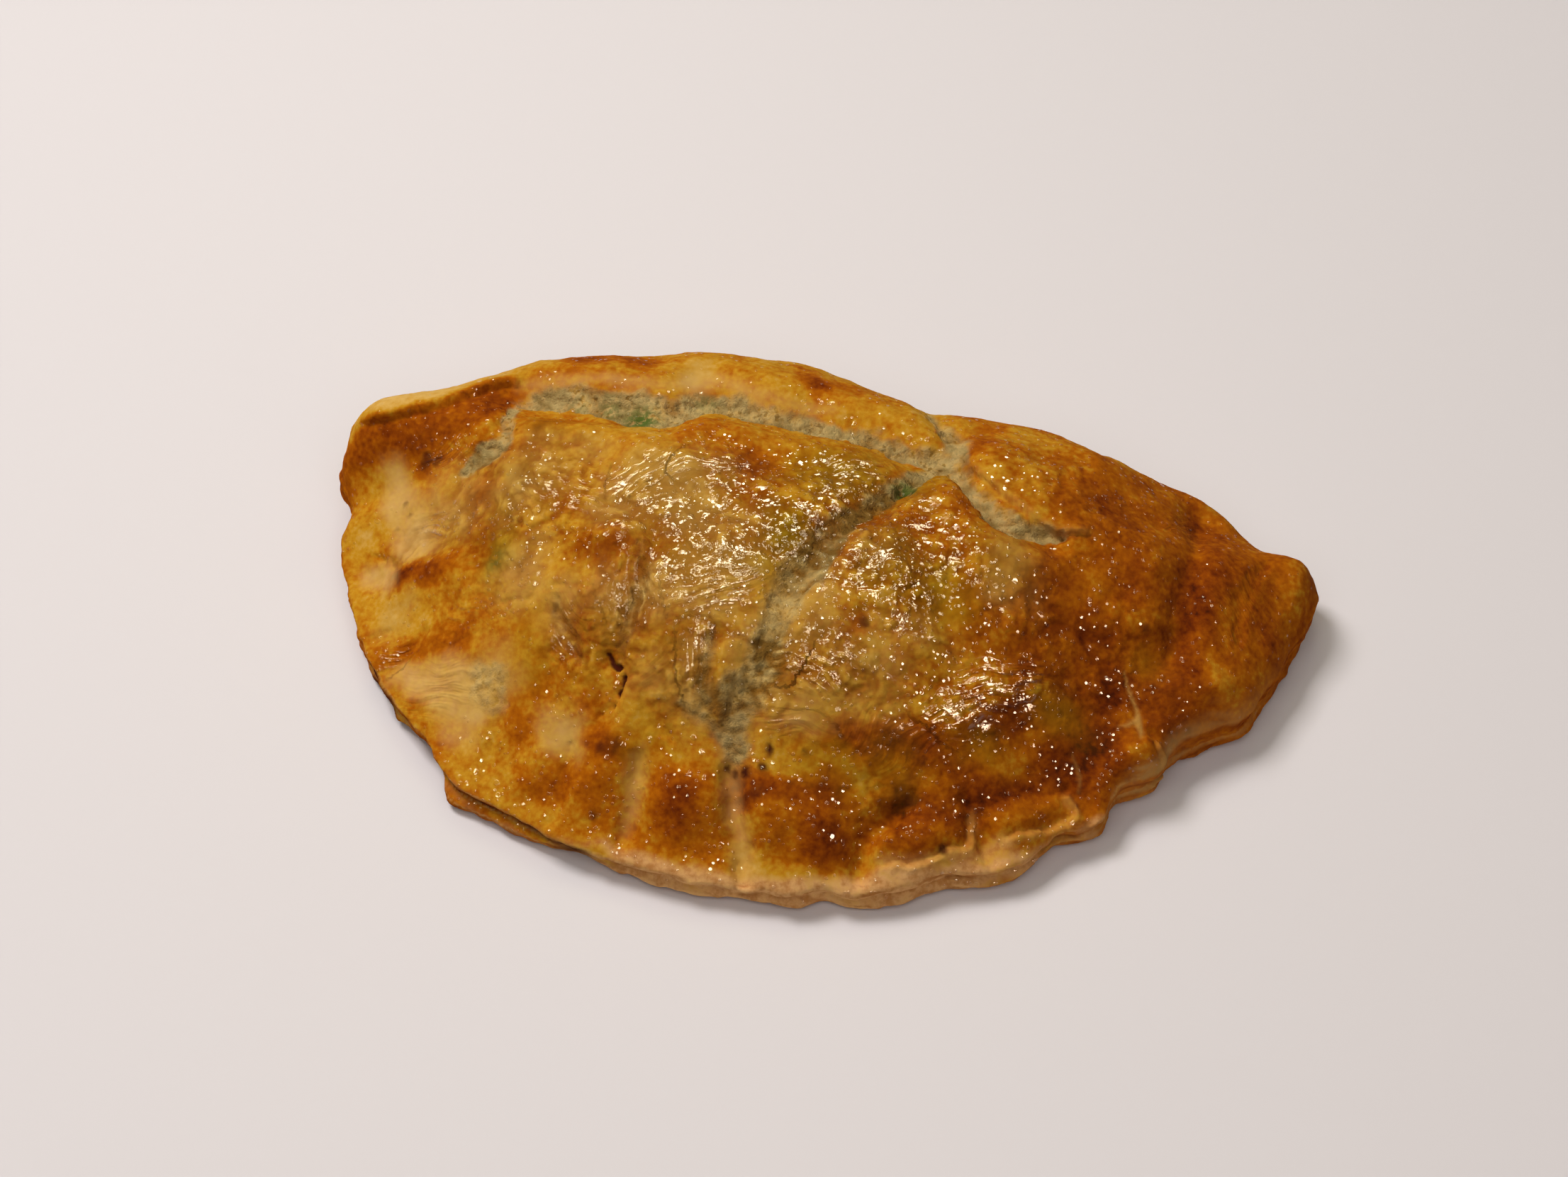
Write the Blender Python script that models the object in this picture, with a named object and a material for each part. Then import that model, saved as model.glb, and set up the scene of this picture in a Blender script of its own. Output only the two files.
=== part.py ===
"""A baked half-moon meat pie, folded from one round of dough, as one solid of pastry.

Frame: +X along the pie towards its drawn-out tip, +Y towards the folded back, +Z up.
The origin is under the middle of its box, on the surface that the pie rests on.
Sizes in this file are in millimetres and are scaled to metres where the mesh is made.
"""

import math

import bmesh
import bpy
import numpy as np
from mathutils import Vector, noise

MM = 0.001

# Driving sizes.
LENGTH = 190.0
DEPTH = 116.0

# Cells of the top skin along and across the pie, and how much they shrink to the edge.
CELLS_X = 80
CELLS_Y = 48
EDGE_CROWDING = 0.12

# Plan of the pie as corners of a smooth closed line, from the tip round the back, as
# fractions of half the length and half the depth.
PLAN = (
    (0.996, 0.340), (0.990, 0.435), (0.962, 0.478), (0.922, 0.490), (0.876, 0.525),
    (0.816, 0.600), (0.747, 0.685), (0.650, 0.715), (0.547, 0.740), (0.443, 0.805),
    (0.313, 0.830), (0.190, 0.845), (0.077, 0.905), (-0.020, 0.970), (-0.120, 1.000),
    (-0.280, 0.990), (-0.430, 0.955), (-0.580, 0.895), (-0.720, 0.790), (-0.830, 0.690),
    (-0.925, 0.640), (-0.982, 0.560), (-0.988, 0.460), (-0.980, 0.330), (-0.962, 0.160),
    (-0.935, 0.030), (-0.896, -0.150), (-0.835, -0.320), (-0.744, -0.505),
    (-0.640, -0.680), (-0.510, -0.810), (-0.370, -0.895), (-0.217, -0.960),
    (-0.050, -0.982), (0.130, -0.962), (0.280, -0.900), (0.430, -0.790),
    (0.560, -0.630), (0.690, -0.405), (0.800, -0.220), (0.900, -0.050), (0.965, 0.160),
)
PLAN_STEPS = 12

# Lobes (out) and nicks (in) of the rim: place, half width along the rim, and reach.
LOBES = (
    ((-94, 24), 4.5, 1.0), ((-91, 16), 2.4, -1.5), ((-91, 9), 4.0, 0.6),
    ((-67, -33), 2.6, -1.0), ((-58, -42), 4.5, 1.4), ((-38, -52), 3.5, 0.8),
    ((5, -58), 4.5, 0.3), ((11, -56), 2.2, -1.6), ((18, -56), 4.5, 0.4),
    ((31, -51), 4.0, -1.2), ((44, -46), 4.5, 1.4), ((52, -39), 2.6, -1.0),
    ((57, -34), 3.4, 2.4), ((63, -28), 2.6, -1.0), ((67, -23), 3.4, 1.6),
    ((72, -18), 3.0, -1.0), ((82, -8), 4.5, 1.8), ((92, 8), 4.0, -0.6),
)
# The same for the lower sheet of dough, where it shows under the upper one.
LOWER_LOBES = (
    ((-66, -35), 4.0, -1.4), ((-58, -43), 6.0, 1.6), ((-47, -49), 5.0, 1.0),
    ((-36, -53), 3.0, -1.2), ((-14, -58), 5.0, 0.6), ((6, -58), 4.0, 0.5),
    ((24, -55), 7.0, 0.8), ((40, -48), 5.0, 1.0),
)

# Height of the skin against its distance in from the edge.
FRONT_RISE = ((0, 6.0), (5, 8.0), (12, 14.0), (22, 23.5), (32, 31.5), (41, 36.0), (50, 38.0))
BACK_RISE = (
    (0, 11.0), (1.5, 18.0), (4, 22.5), (8, 26.0), (14, 28.5), (24, 32.0), (34, 35.5),
    (42, 38.0), (50, 38.5),
)
TAIL_RISE = ((0, 8.0), (2, 12.0), (6, 15.5), (12, 19.5), (20, 25.0), (34, 33.0), (50, 38.0))

# Valleys where the skin has torn, sunk or been pleated: line, half width and depth.
VALLEYS = (
    # Long tear under the flaps at the back, and its branch to the left.
    (((-60, 31), (-52, 30), (-44, 29.5), (-36, 28), (-30, 28)), 4.6, 3.2),
    (((-30, 28), (-25, 33), (-17, 33), (-9, 31), (0, 31), (9, 29), (16, 26), (23, 26)), 3.6, 2.8),
    (((-60, 31), (-61, 25), (-62, 19), (-68, 15)), 2.4, 2.0),
    # Its branches to the back, down the middle and to the right.
    (((24, 27), (23, 33), (19, 39), (16, 46)), 2.4, 1.6),
    (((23, 26), (17, 19), (10, 9), (4, 0), (-1, -9), (-4, -20), (-6, -28), (-9, -34)), 3.2, 2.2),
    (((24, 24), (28, 17), (32, 11), (37, 8.5), (45, 9)), 2.6, 2.2),
    # Cracks left of the middle.
    (((-31, -9), (-29, -13), (-30, -19)), 1.8, 1.3),
    (((-43, -16), (-40, -22), (-38, -26)), 1.8, 1.1),
    (((-44, -23), (-43, -29)), 1.6, 1.0),
    (((-33, -25), (-30, -28), (-31, -31), (-33, -34)), 1.8, 1.4),
    (((-17, -32), (-13, -35), (-9, -36)), 2.0, 1.0),
    # Pleats of the front rim, from left to right.
    (((-25, -40), (-25, -46), (-27, -52)), 1.8, 1.2),
    (((-8, -36), (-8, -42), (-6, -48), (-4, -57)), 2.0, 1.5),
    (((24, -39), (19, -44), (16, -47), (16, -55)), 1.8, 1.8),
    (((33, -38), (37, -42), (39, -48)), 1.8, 1.6),
    (((51, -31), (55, -34), (56, -40)), 1.8, 1.4),
    (((66, -19), (70, -20), (73, -19)), 1.8, 1.2),
    (((79, -9), (78, -13)), 1.6, 1.2),
    # Creases of the left end.
    (((-94, 19), (-84, 18), (-75, 18), (-69, 19)), 3.4, 2.8),
    (((-82, 18), (-80, 13), (-76, 7), (-71, 3)), 3.6, 1.3),
    (((-87, 2), (-79, 0)), 2.4, 1.0),
    # Crease between the filled part and the flat tail.
    (((71, 30), (70, 13), (69, 2), (67, -6)), 3.8, 1.8),
)

# Rolls where dough stands up: line, half width and height.
ROLLS = (
    # Flaps folded over the top: left, middle and right.
    (((-86, 29), (-81, 28), (-74, 31), (-68, 35), (-64, 36)), 4.8, 1.0),
    (((-57, 41), (-45, 39.5), (-34, 40), (-27, 46), (-15, 43), (-2, 41), (10, 37), (18, 34)), 5.2, 2.4),
    (((30, 30), (37, 25), (43, 19), (50, 15), (60, 13)), 5.4, 2.2),
    (((54, 41), (64, 40), (74, 36)), 4.0, 1.4),
    # Torn edge of the top skin along the valleys.
    (((-57, 24), (-45, 22), (-35, 18), (-29, 18), (-24, 24), (-16, 24), (-4, 23), (8, 22)), 3.0, 1.3),
    (((24, 18), (27, 11), (33, 5), (42, 4)), 3.4, 1.1),
    # Shoulder over the front rim.
    (((26, -30), (33, -26), (39, -22), (45, -17)), 4.0, 1.3),
    # Pads and lips of the front rim between the pleats.
    (((-44, -41), (-35, -44)), 4.2, 1.2),
    (((-19, -46), (-13, -46)), 4.6, 1.8),
    (((-1, -47), (8, -47)), 4.8, 1.8),
    (((22, -46), (28, -45), (32, -43)), 3.8, 2.2),
    (((41, -40), (46, -37), (51, -33)), 3.2, 2.0),
    (((60, -26), (65, -22), (68, -19)), 3.0, 1.6),
    # Left end and tail.
    (((-66, -27), (-56, -26)), 7.0, 0.8),
    (((-78, -3), (-68, -5)), 3.0, 0.9),
    (((69, -7), (74, -8), (79, -7)), 2.0, 1.0),
    (((87, 24), (91, 23), (92, 15)), 3.2, 1.8),
)

# Lumps of the filling under the skin, and its crumpling: size across, depth and seed.
LUMPS = ((17.0, 1.5, 3.0), (6.5, 0.6, 7.0))
LUMPS_FROM_EDGE = (3.0, 14.0)
TAIL_START = (48.0, 72.0)
BACK_START = (5.0, 30.0)

# Start and end of a valley's slope in half widths, share of the valleys and rolls that is
# left at the edge, and how far in they are whole.
VALLEY_SLOPE = (0.3, 1.5)
RELIEF_AT_EDGE = 0.3
RELIEF_FROM_EDGE = (0.0, 4.0)

# How sharply the nearest side counts most in the distance in, and where that takes over
# from the plain distance to the outline.
NEARNESS = 6
ROUNDED_FROM_EDGE = (1.0, 4.0)

# Rings down the edge, as height over that of the skin's edge, and distance in: the two
# sheets of dough with the groove between them, and the round fold at the back.
SEAM_RINGS = ((0.78, -0.2), (0.56, 1.6), (0.42, 0.0), (0.12, 0.4), (0.0, 3.0))
FOLD_RINGS = ((0.78, -0.3), (0.56, 0.2), (0.35, 1.0), (0.14, 2.6), (0.0, 6.0))
LOWER_SHEET_RING = 2

PASTRY_COLOUR = (0.43, 0.18, 0.035, 1.0)
PASTRY_ROUGHNESS = 0.42
SHARP_ANGLE = math.radians(60)


def smooth_loop(corners, steps):
    """Closed Catmull-Rom line through the corners, with this many steps between two."""
    p = np.array(corners, float)
    before, after, last = np.roll(p, 1, 0), np.roll(p, -1, 0), np.roll(p, -2, 0)
    t = (np.arange(steps) / steps)[None, :, None]
    a, b, c, d = (q[:, None, :] for q in (before, p, after, last))
    straight = 2 * b + (c - a) * t
    curved = (2 * a - 5 * b + 4 * c - d) * t**2 + (3 * b - a - 3 * c + d) * t**3
    return ((straight + curved) / 2).reshape(-1, 2)


def ease(value, low, high):
    """0 below low, 1 above high, and smooth in between."""
    t = np.clip((value - low) / (high - low), 0, 1)
    return t * t * (3 - 2 * t)


def curve_through(knots, value):
    """Height at a value, on a smooth curve through the knots that never overshoots them."""
    x, y = np.array(knots, float).T
    slope = np.diff(y) / np.diff(x)
    same = slope[:-1] * slope[1:] > 0
    mean = 2 * slope[:-1] * slope[1:] / np.where(same, slope[:-1] + slope[1:], 1)
    tangent = np.concatenate([[slope[0]], np.where(same, mean, 0), [0.0]])
    d = np.clip(value, x[0], x[-1])
    i = np.clip(np.searchsorted(x, d, side="right") - 1, 0, len(slope) - 1)
    width = x[i + 1] - x[i]
    t = (d - x[i]) / width
    start = y[i] * (1 + 2 * t) * (1 - t) ** 2 + tangent[i] * width * t * (1 - t) ** 2
    end = y[i + 1] * t**2 * (3 - 2 * t) - tangent[i + 1] * width * t**2 * (1 - t)
    return start + end


def distance_to_line(points, line):
    """Distance of each point to an open line of straight pieces."""
    line = np.array(line, float)
    start, side = line[None, :-1], np.diff(line, axis=0)[None]
    along = ((points[:, None] - start) * side).sum(2) / (side**2).sum(2)
    foot = start + np.clip(along, 0, 1)[..., None] * side
    return np.linalg.norm(points[:, None] - foot, axis=2).min(1)


def distance_inside(points, outline):
    """Distance in from the outline, rounded off where two sides are equally near."""
    side = np.roll(outline, -1, 0) - outline
    middle = outline + side / 2
    apart = np.linalg.norm(points[:, None] - middle[None], axis=2)
    pull = (np.linalg.norm(side, axis=1) / np.maximum(apart, 1e-6) ** NEARNESS).sum(1)
    # A long straight side pulls by 3 pi / 8 over the fifth power of its distance.
    far = (pull / (3 * math.pi / 8)) ** (-1 / (NEARNESS - 1))
    near = distance_to_line(points, np.vstack([outline, outline[:1]]))
    return near + (far - near) * ease(near, *ROUNDED_FROM_EDGE)


def lobed(line, lobes):
    """A closed line pushed out at its lobes and in at its nicks."""
    side = np.roll(line, -1, 0) - np.roll(line, 1, 0)
    outward = np.stack([side[:, 1], -side[:, 0]], 1) / np.linalg.norm(side, axis=1)[:, None]
    return line + outward * lobe_reach(line, lobes)[:, None]


def lobe_reach(line, lobes):
    """How far the lobes push each point of a line."""
    reach = np.zeros(len(line))
    for place, half_width, out in lobes:
        apart = np.linalg.norm(line - np.array(place), axis=1)
        apart = apart - apart.min()
        reach += out * np.exp(-((apart / half_width) ** 2))
    return reach


def lumps(points):
    """Uneven filling and crumpled skin, as heights about zero."""
    height = np.zeros(len(points))
    for size, depth, seed in LUMPS:
        height += [depth * noise.noise(Vector((x / size, y / size, seed))) for x, y in points]
    return height


def skin_height(points, outline):
    """Height of the top skin over the plan, with its valleys, rolls and lumps."""
    x, y = points.T
    inside = distance_inside(points, outline)
    front = curve_through(FRONT_RISE, inside)
    back = curve_through(BACK_RISE, inside)
    tail = curve_through(TAIL_RISE, inside)
    height = front + (back - front) * ease(y, *BACK_START)
    height += (tail - height) * ease(x, *TAIL_START)
    sunk = np.zeros(len(points))
    for line, half_width, depth in VALLEYS:
        apart = distance_to_line(points, line) / half_width
        sunk = np.maximum(sunk, depth * (1 - ease(apart, *VALLEY_SLOPE)))
    raised = np.zeros(len(points))
    for line, half_width, rise in ROLLS:
        apart = distance_to_line(points, line) / half_width
        raised = np.maximum(raised, rise * np.exp(-(apart**2)))
    whole = RELIEF_AT_EDGE + (1 - RELIEF_AT_EDGE) * ease(inside, *RELIEF_FROM_EDGE)
    return height + (raised - sunk) * whole + lumps(points) * ease(inside, *LUMPS_FROM_EDGE)


def plan_points(square, outline):
    """Spread the points of a square of side 2 over the plan, without a pole or corners."""
    u, v = square.T
    disc = np.stack([u * np.sqrt(1 - v**2 / 2), v * np.sqrt(1 - u**2 / 2)], 1)
    out = np.linalg.norm(disc, axis=1)
    turn = np.arctan2(disc[:, 1], disc[:, 0])
    half = np.array([LENGTH / 2, DEPTH / 2])
    flat = outline / half
    line_turn = np.arctan2(flat[:, 1], flat[:, 0])
    order = np.argsort(line_turn)
    line_out = np.linalg.norm(flat, axis=1)[order]
    reach = np.interp(turn, line_turn[order], line_out, period=2 * math.pi)
    share = out * (1 + EDGE_CROWDING * (1 - out)) * reach
    return np.stack([np.cos(turn), np.sin(turn)], 1) * share[:, None] * half


def add_skin(outline):
    """Grid of the top skin, spread over the plan and raised."""
    bpy.ops.mesh.primitive_grid_add(
        x_subdivisions=CELLS_X, y_subdivisions=CELLS_Y, size=2, calc_uvs=False
    )
    pie = bpy.context.object
    pie.name = "pastry"
    pie.data.name = "pastry"
    co = np.empty(len(pie.data.vertices) * 3)
    pie.data.vertices.foreach_get("co", co)
    points = plan_points(co.reshape(-1, 3)[:, :2], outline)
    height = skin_height(points, outline)
    co = np.column_stack([points, height]) * MM
    pie.data.vertices.foreach_set("co", co.ravel())
    return pie


def add_edge(pie):
    """Carry the skin's edge down in rings, and close the flat base."""
    mesh = bmesh.new()
    mesh.from_mesh(pie.data)
    rim = [edge for edge in mesh.edges if edge.is_boundary]
    last = np.array([[1.0, 0.0], [1.0, 0.0]])
    for number, rings in enumerate(zip(SEAM_RINGS, FOLD_RINGS)):
        grown = bmesh.ops.extrude_edge_only(mesh, edges=rim)["geom"]
        verts = [item for item in grown if isinstance(item, bmesh.types.BMVert)]
        rim = [e for e in grown if isinstance(e, bmesh.types.BMEdge) and e.is_boundary]
        plan = np.array([vert.co.xy for vert in verts]) / MM
        ring = np.array(rings)
        fold = ease(plan[:, 1], *BACK_START)[:, None]
        here = ring[0] + (ring[1] - ring[0]) * fold
        above = last[0] + (last[1] - last[0]) * fold
        inward = here[:, 1] - above[:, 1]
        if number == LOWER_SHEET_RING:
            inward -= lobe_reach(plan, LOWER_LOBES)
        plan *= 1 - (inward / np.linalg.norm(plan, axis=1))[:, None]
        lower = here[:, 0] / above[:, 0]
        for vert, (x, y), share in zip(verts, plan * MM, lower):
            vert.co = (x, y, vert.co.z * share)
        last = ring
    bmesh.ops.contextual_create(mesh, geom=rim)
    bmesh.ops.recalc_face_normals(mesh, faces=mesh.faces)
    mesh.to_mesh(pie.data)
    mesh.free()


def centre(pie):
    """Move the mesh so that its box stands centred over the origin."""
    co = np.empty(len(pie.data.vertices) * 3)
    pie.data.vertices.foreach_get("co", co)
    co = co.reshape(-1, 3)
    co[:, :2] -= (co[:, :2].min(0) + co[:, :2].max(0)) / 2
    pie.data.vertices.foreach_set("co", co.ravel())


def pastry_material():
    """Golden-brown glazed pastry."""
    material = bpy.data.materials.new("pastry")
    material.use_nodes = True
    shader = material.node_tree.nodes["Principled BSDF"]
    shader.inputs["Base Color"].default_value = PASTRY_COLOUR
    shader.inputs["Roughness"].default_value = PASTRY_ROUGHNESS
    shader.inputs["Metallic"].default_value = 0.0
    return material


def main():
    for old in list(bpy.data.objects):
        bpy.data.objects.remove(old)
    outline = lobed(smooth_loop(PLAN, PLAN_STEPS) * (LENGTH / 2, DEPTH / 2), LOBES)
    pie = add_skin(outline)
    add_edge(pie)
    centre(pie)
    pie.data.materials.append(pastry_material())
    pie.data.shade_smooth()
    pie.data.set_sharp_from_angle(angle=SHARP_ANGLE)
    collection = bpy.data.collections.new("meat_pie")
    bpy.context.scene.collection.children.link(collection)
    for holder in list(pie.users_collection):
        holder.objects.unlink(pie)
    collection.objects.link(pie)


main()
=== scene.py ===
"""Looks of a baked half-moon meat pie: its crust, its finish, and the stage that it stands on.

Frame: +X along the pie towards its drawn-out tip, +Y towards the folded back, +Z up.
Places and sizes in the tables below are in millimetres, and MM turns them into metres.
"""

import math
from functools import reduce

import bpy
import numpy as np
from bpy.props import FloatProperty, FloatVectorProperty, PointerProperty
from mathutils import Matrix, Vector, noise


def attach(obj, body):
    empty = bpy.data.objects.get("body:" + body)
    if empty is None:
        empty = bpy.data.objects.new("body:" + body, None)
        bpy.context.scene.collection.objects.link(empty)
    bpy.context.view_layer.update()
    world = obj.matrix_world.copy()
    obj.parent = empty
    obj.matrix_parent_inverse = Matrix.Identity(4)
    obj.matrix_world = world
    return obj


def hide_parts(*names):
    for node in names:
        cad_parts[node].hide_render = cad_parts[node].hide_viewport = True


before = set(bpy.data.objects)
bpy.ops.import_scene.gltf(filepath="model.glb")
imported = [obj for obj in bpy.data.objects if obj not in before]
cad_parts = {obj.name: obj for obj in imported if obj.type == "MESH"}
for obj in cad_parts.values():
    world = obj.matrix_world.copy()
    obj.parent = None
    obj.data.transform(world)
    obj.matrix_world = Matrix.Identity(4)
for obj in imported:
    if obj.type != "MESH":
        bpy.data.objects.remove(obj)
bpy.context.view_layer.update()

bl_info = {
    "name": "Half-moon meat pie",
    "version": (1, 0, 0),
    "blender": (4, 5, 0),
    "location": "3D View > Sidebar > Meat pie",
    "description": "Models and lights a baked half-moon meat pie",
    "category": "Add Mesh",
}

MM = 0.001

# Copy of the solid: distance to weld in metres, and rounding steps.
WELD = 0.00001
ROUNDING = 2

# Points of a smooth line between two corners, how far a stroke and a sheet's edge reach,
# how far away an untouched point counts, and how flat the top of a patch is.
LINE_STEPS = 6
STROKE_REACH = 8.0
SHEET_REACH = 12.0
FAR = 99.0
PATCH_EDGE = 1.4

# Strengths of the noise that makes edges ragged, and of the wider one that bends wrinkles.
RAGGED = 0.8
BEND = 2.0

# How far inside its line a tear begins and is whole, at a sharp lip and at a soft edge, and
# the same for the slope of its floor, as shares of the half width.
SHARP_LIP = (-0.3, 0.6)
SOFT_EDGE = (-1.4, 1.2)
FLOOR_SLOPE = (-0.3, 0.9)

# Lumps of the torn dough and of the skin: height, size, seed and octaves.
TORN_LUMPS = ((0.40, 1.5, 61.0, 3), (0.42, 3.2, 67.0, 2))
SKIN_LUMPS = ((0.42, 9.0, 57.0, 1), (0.22, 4.4, 59.0, 1))

# Creases of the crumpled skin: depth, size and seed. And how sharp a crease is.
CREASES = (
    (0.44, (7.0, 5.0, 6.0), 41.0), (0.30, (2.8, 3.4, 3.0), 43.0), (0.16, (1.5, 1.7, 1.6), 45.0),
)
CREASE_SHARPNESS = 2.2

# Radius of a blister as a share of its cell, and the scale that gives each its own height.
BLISTER_RADIUS = 0.5
BLISTER_SHUFFLE = 7.31

# Share at which a fan of wrinkles ends, and the height of a fan that carries its full share
# of combed lines of glaze.
FAN_END = 0.02
COMBED_RISE = 0.26

# Browning and gloss of the skin where no patch lies, and browning of the wall at the back.
PLAIN_BROWNING = 0.48
PLAIN_GLOSS = 0.38
BACK_BROWNING = 0.72

# Height of the painted shade in the seam between the two sheets of dough, and its half width.
SEAM_SHADE_HEIGHT = 3.2
SEAM_SHADE_WIDTH = 0.9

# Height over which the relief grows from nothing at the flat base, and most triangles that
# the crust keeps.
FLAT_FOOT = 1.2
TRIANGLES = 190000

# Torn places where rough pale dough shows: drop of their floor, which side has a sharp
# lip (1 the line's left, -1 its right, 0 none), how pale they are, and their line as
# place and half width.
TEARS = (
    # Under the middle flap, from its left end to where the tears meet.
    (0.4, -1, 0.8, ((-60, 31.8, 1.2), (-55, 32.2, 2.4), (-50.5, 32.2, 2.4), (-44.5, 31.4, 2.4),
                    (-38.9, 30.2, 3.8), (-34, 29.4, 4.0), (-29.5, 30.6, 3.4), (-24, 33.6, 2.4),
                    (-18.4, 34, 2.4), (-14, 33, 2.2), (-9, 31.8, 1.8), (-3, 31.4, 1.8), (4, 30.4, 1.6),
                    (10, 29, 1.6), (14.5, 27.2, 1.8), (19, 26.6, 1.6), (23.5, 27, 1.8))),
    # Its branch down the left.
    (0.5, -1, 0.8, ((-60, 30, 1.3), (-60.8, 24.7, 1.3), (-60.6, 20.1, 2.2), (-63.8, 17.7, 2.4),
                    (-67.9, 15.2, 1.6))),
    # Crease up over the back.
    (0.4, 0, 0.7, ((24.3, 26.8, 2.2), (23.9, 31.2, 2.2), (21.5, 35, 1.6), (19.2, 37.8, 1.2),
                   (17, 43, 0.8))),
    # Down the middle.
    (0.4, 1, 0.86, ((23, 26, 1.6), (18.3, 21.5, 2.0), (14.8, 16.5, 2.2), (9.8, 9.8, 2.0),
                    (5.9, 4.4, 2.0))),
    (0.3, 0, 0.68, ((5.9, 4.4, 2.4), (2.6, -1.9, 3.2), (0.4, -7.7, 4.0), (-1.6, -12.3, 3.4),
                    (-3.6, -19, 3.0), (-4.9, -25.9, 3.4), (-7.4, -29.3, 4.0), (-8.8, -33, 3.6),
                    (-7.6, -37.6, 2.0))),
    (0.3, 0, 0.6, ((-19, -32, 1), (-14.5, -33.5, 1.2), (-9.7, -35.1, 1.4))),
    (0.5, 0, 0.55, ((-14.4, -20, 0.4), (-14.7, -23.5, 1.2), (-15.2, -27.1, 1.6), (-15.1, -29.8, 1.2),
                    (-13.9, -32.6, 1.4), (-11.8, -35.1, 1.6), (-9, -36.7, 1.4))),
    # Under the right flap.
    (0.7, -1, 0.75, ((24.5, 24, 1.8), (26.6, 20.4, 1.8), (29.4, 17.2, 2.2), (32.6, 13, 2.6),
                    (36.4, 10.4, 2.4), (40.6, 10, 1.8), (45.6, 10.4, 0.8))),
    # Sunken greyish line left of the middle.
    (0.5, 0, 0.40, ((-30, -6, 1.2), (-28.6, -11, 1.8), (-29, -16, 2), (-30, -21, 1.4),
                    (-31, -26, 0.8))),
    # Damp spot in the pale skin at the front left.
    (0.15, 0, 0.50, ((-57.4, -23.5, 1.8), (-55.4, -26.4, 4.0), (-53.6, -29.5, 1.8))),
    (0.4, 0, 0.32, ((-44.6, -14.5, 0.8), (-42.6, -18, 1.4), (-39.8, -22, 1.2), (-38, -26, 0.6))),
)

# Narrow open cracks: depth, how dark their painted shade is, and their line as place and half width.
CRACKS = (
    (0.9, 1.0, ((-33.4, -24.4, 0.1), (-32.4, -26.2, 0.4), (-29.8, -27.6, 0.4), (-30.2, -30.1, 0.4),
                (-30.9, -32.2, 0.4), (-33, -33.4, 0.1))),
    (0.4, 0.4, ((-30.7, -8.4, 0.1), (-29, -13, 0.3), (-29.8, -18.9, 0.1))),
    (0.4, 0.4, ((-44, -15.2, 0.1), (-41.4, -20.2, 0.3), (-38.6, -25.2, 0.1))),
    (0.3, 0.3, ((-44.5, -23, 0.1), (-43.7, -26, 0.2), (-43.1, -29, 0.1))),
    (0.8, 0.35, ((17.4, 19.4, 0.2), (15.4, 16.4, 0.8), (14, 14.4, 0.3))),
    (0.5, 0.4, ((-57.6, 3, 0.1), (-55, 1.2, 0.3), (-51.6, -1.4, 0.1))),
    (0.4, 0.3, ((-68, 14.6, 0.1), (-65, 13.6, 0.3), (-61.6, 13.8, 0.1))),
    (0.3, 0.3, ((-44.6, 5.4, 0.1), (-42, 5, 0.2), (-39.4, 5.6, 0.1))),
    (0.3, 0.3, ((-55.6, 9.6, 0.1), (-52.4, 10.4, 0.2), (-49.6, 9.8, 0.1))),
    (0.6, 0.5, ((-84.6, 5.2, 0.1), (-82, 4.2, 0.4), (-78.6, 1.6, 0.4), (-77, 0, 0.1))),
    (0.3, 0.2, ((-56, -13.4, 0.1), (-50, -13.8, 0.2), (-44, -13, 0.2), (-36, -14, 0.1))),
    (0.4, 0.3, ((-13, 2.4, 0.1), (-16, 0.4, 0.2), (-20, 1.6, 0.1))),
    (0.5, 0.4, ((-3, -22, 0.1), (-5.4, -26, 0.3), (-9, -30, 0.2), (-10, -34, 0.1))),
    (0.4, 0.5, ((19, -41.6, 0.1), (22.8, -41.2, 0.3), (24.6, -38.4, 0.1))),
)

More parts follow.
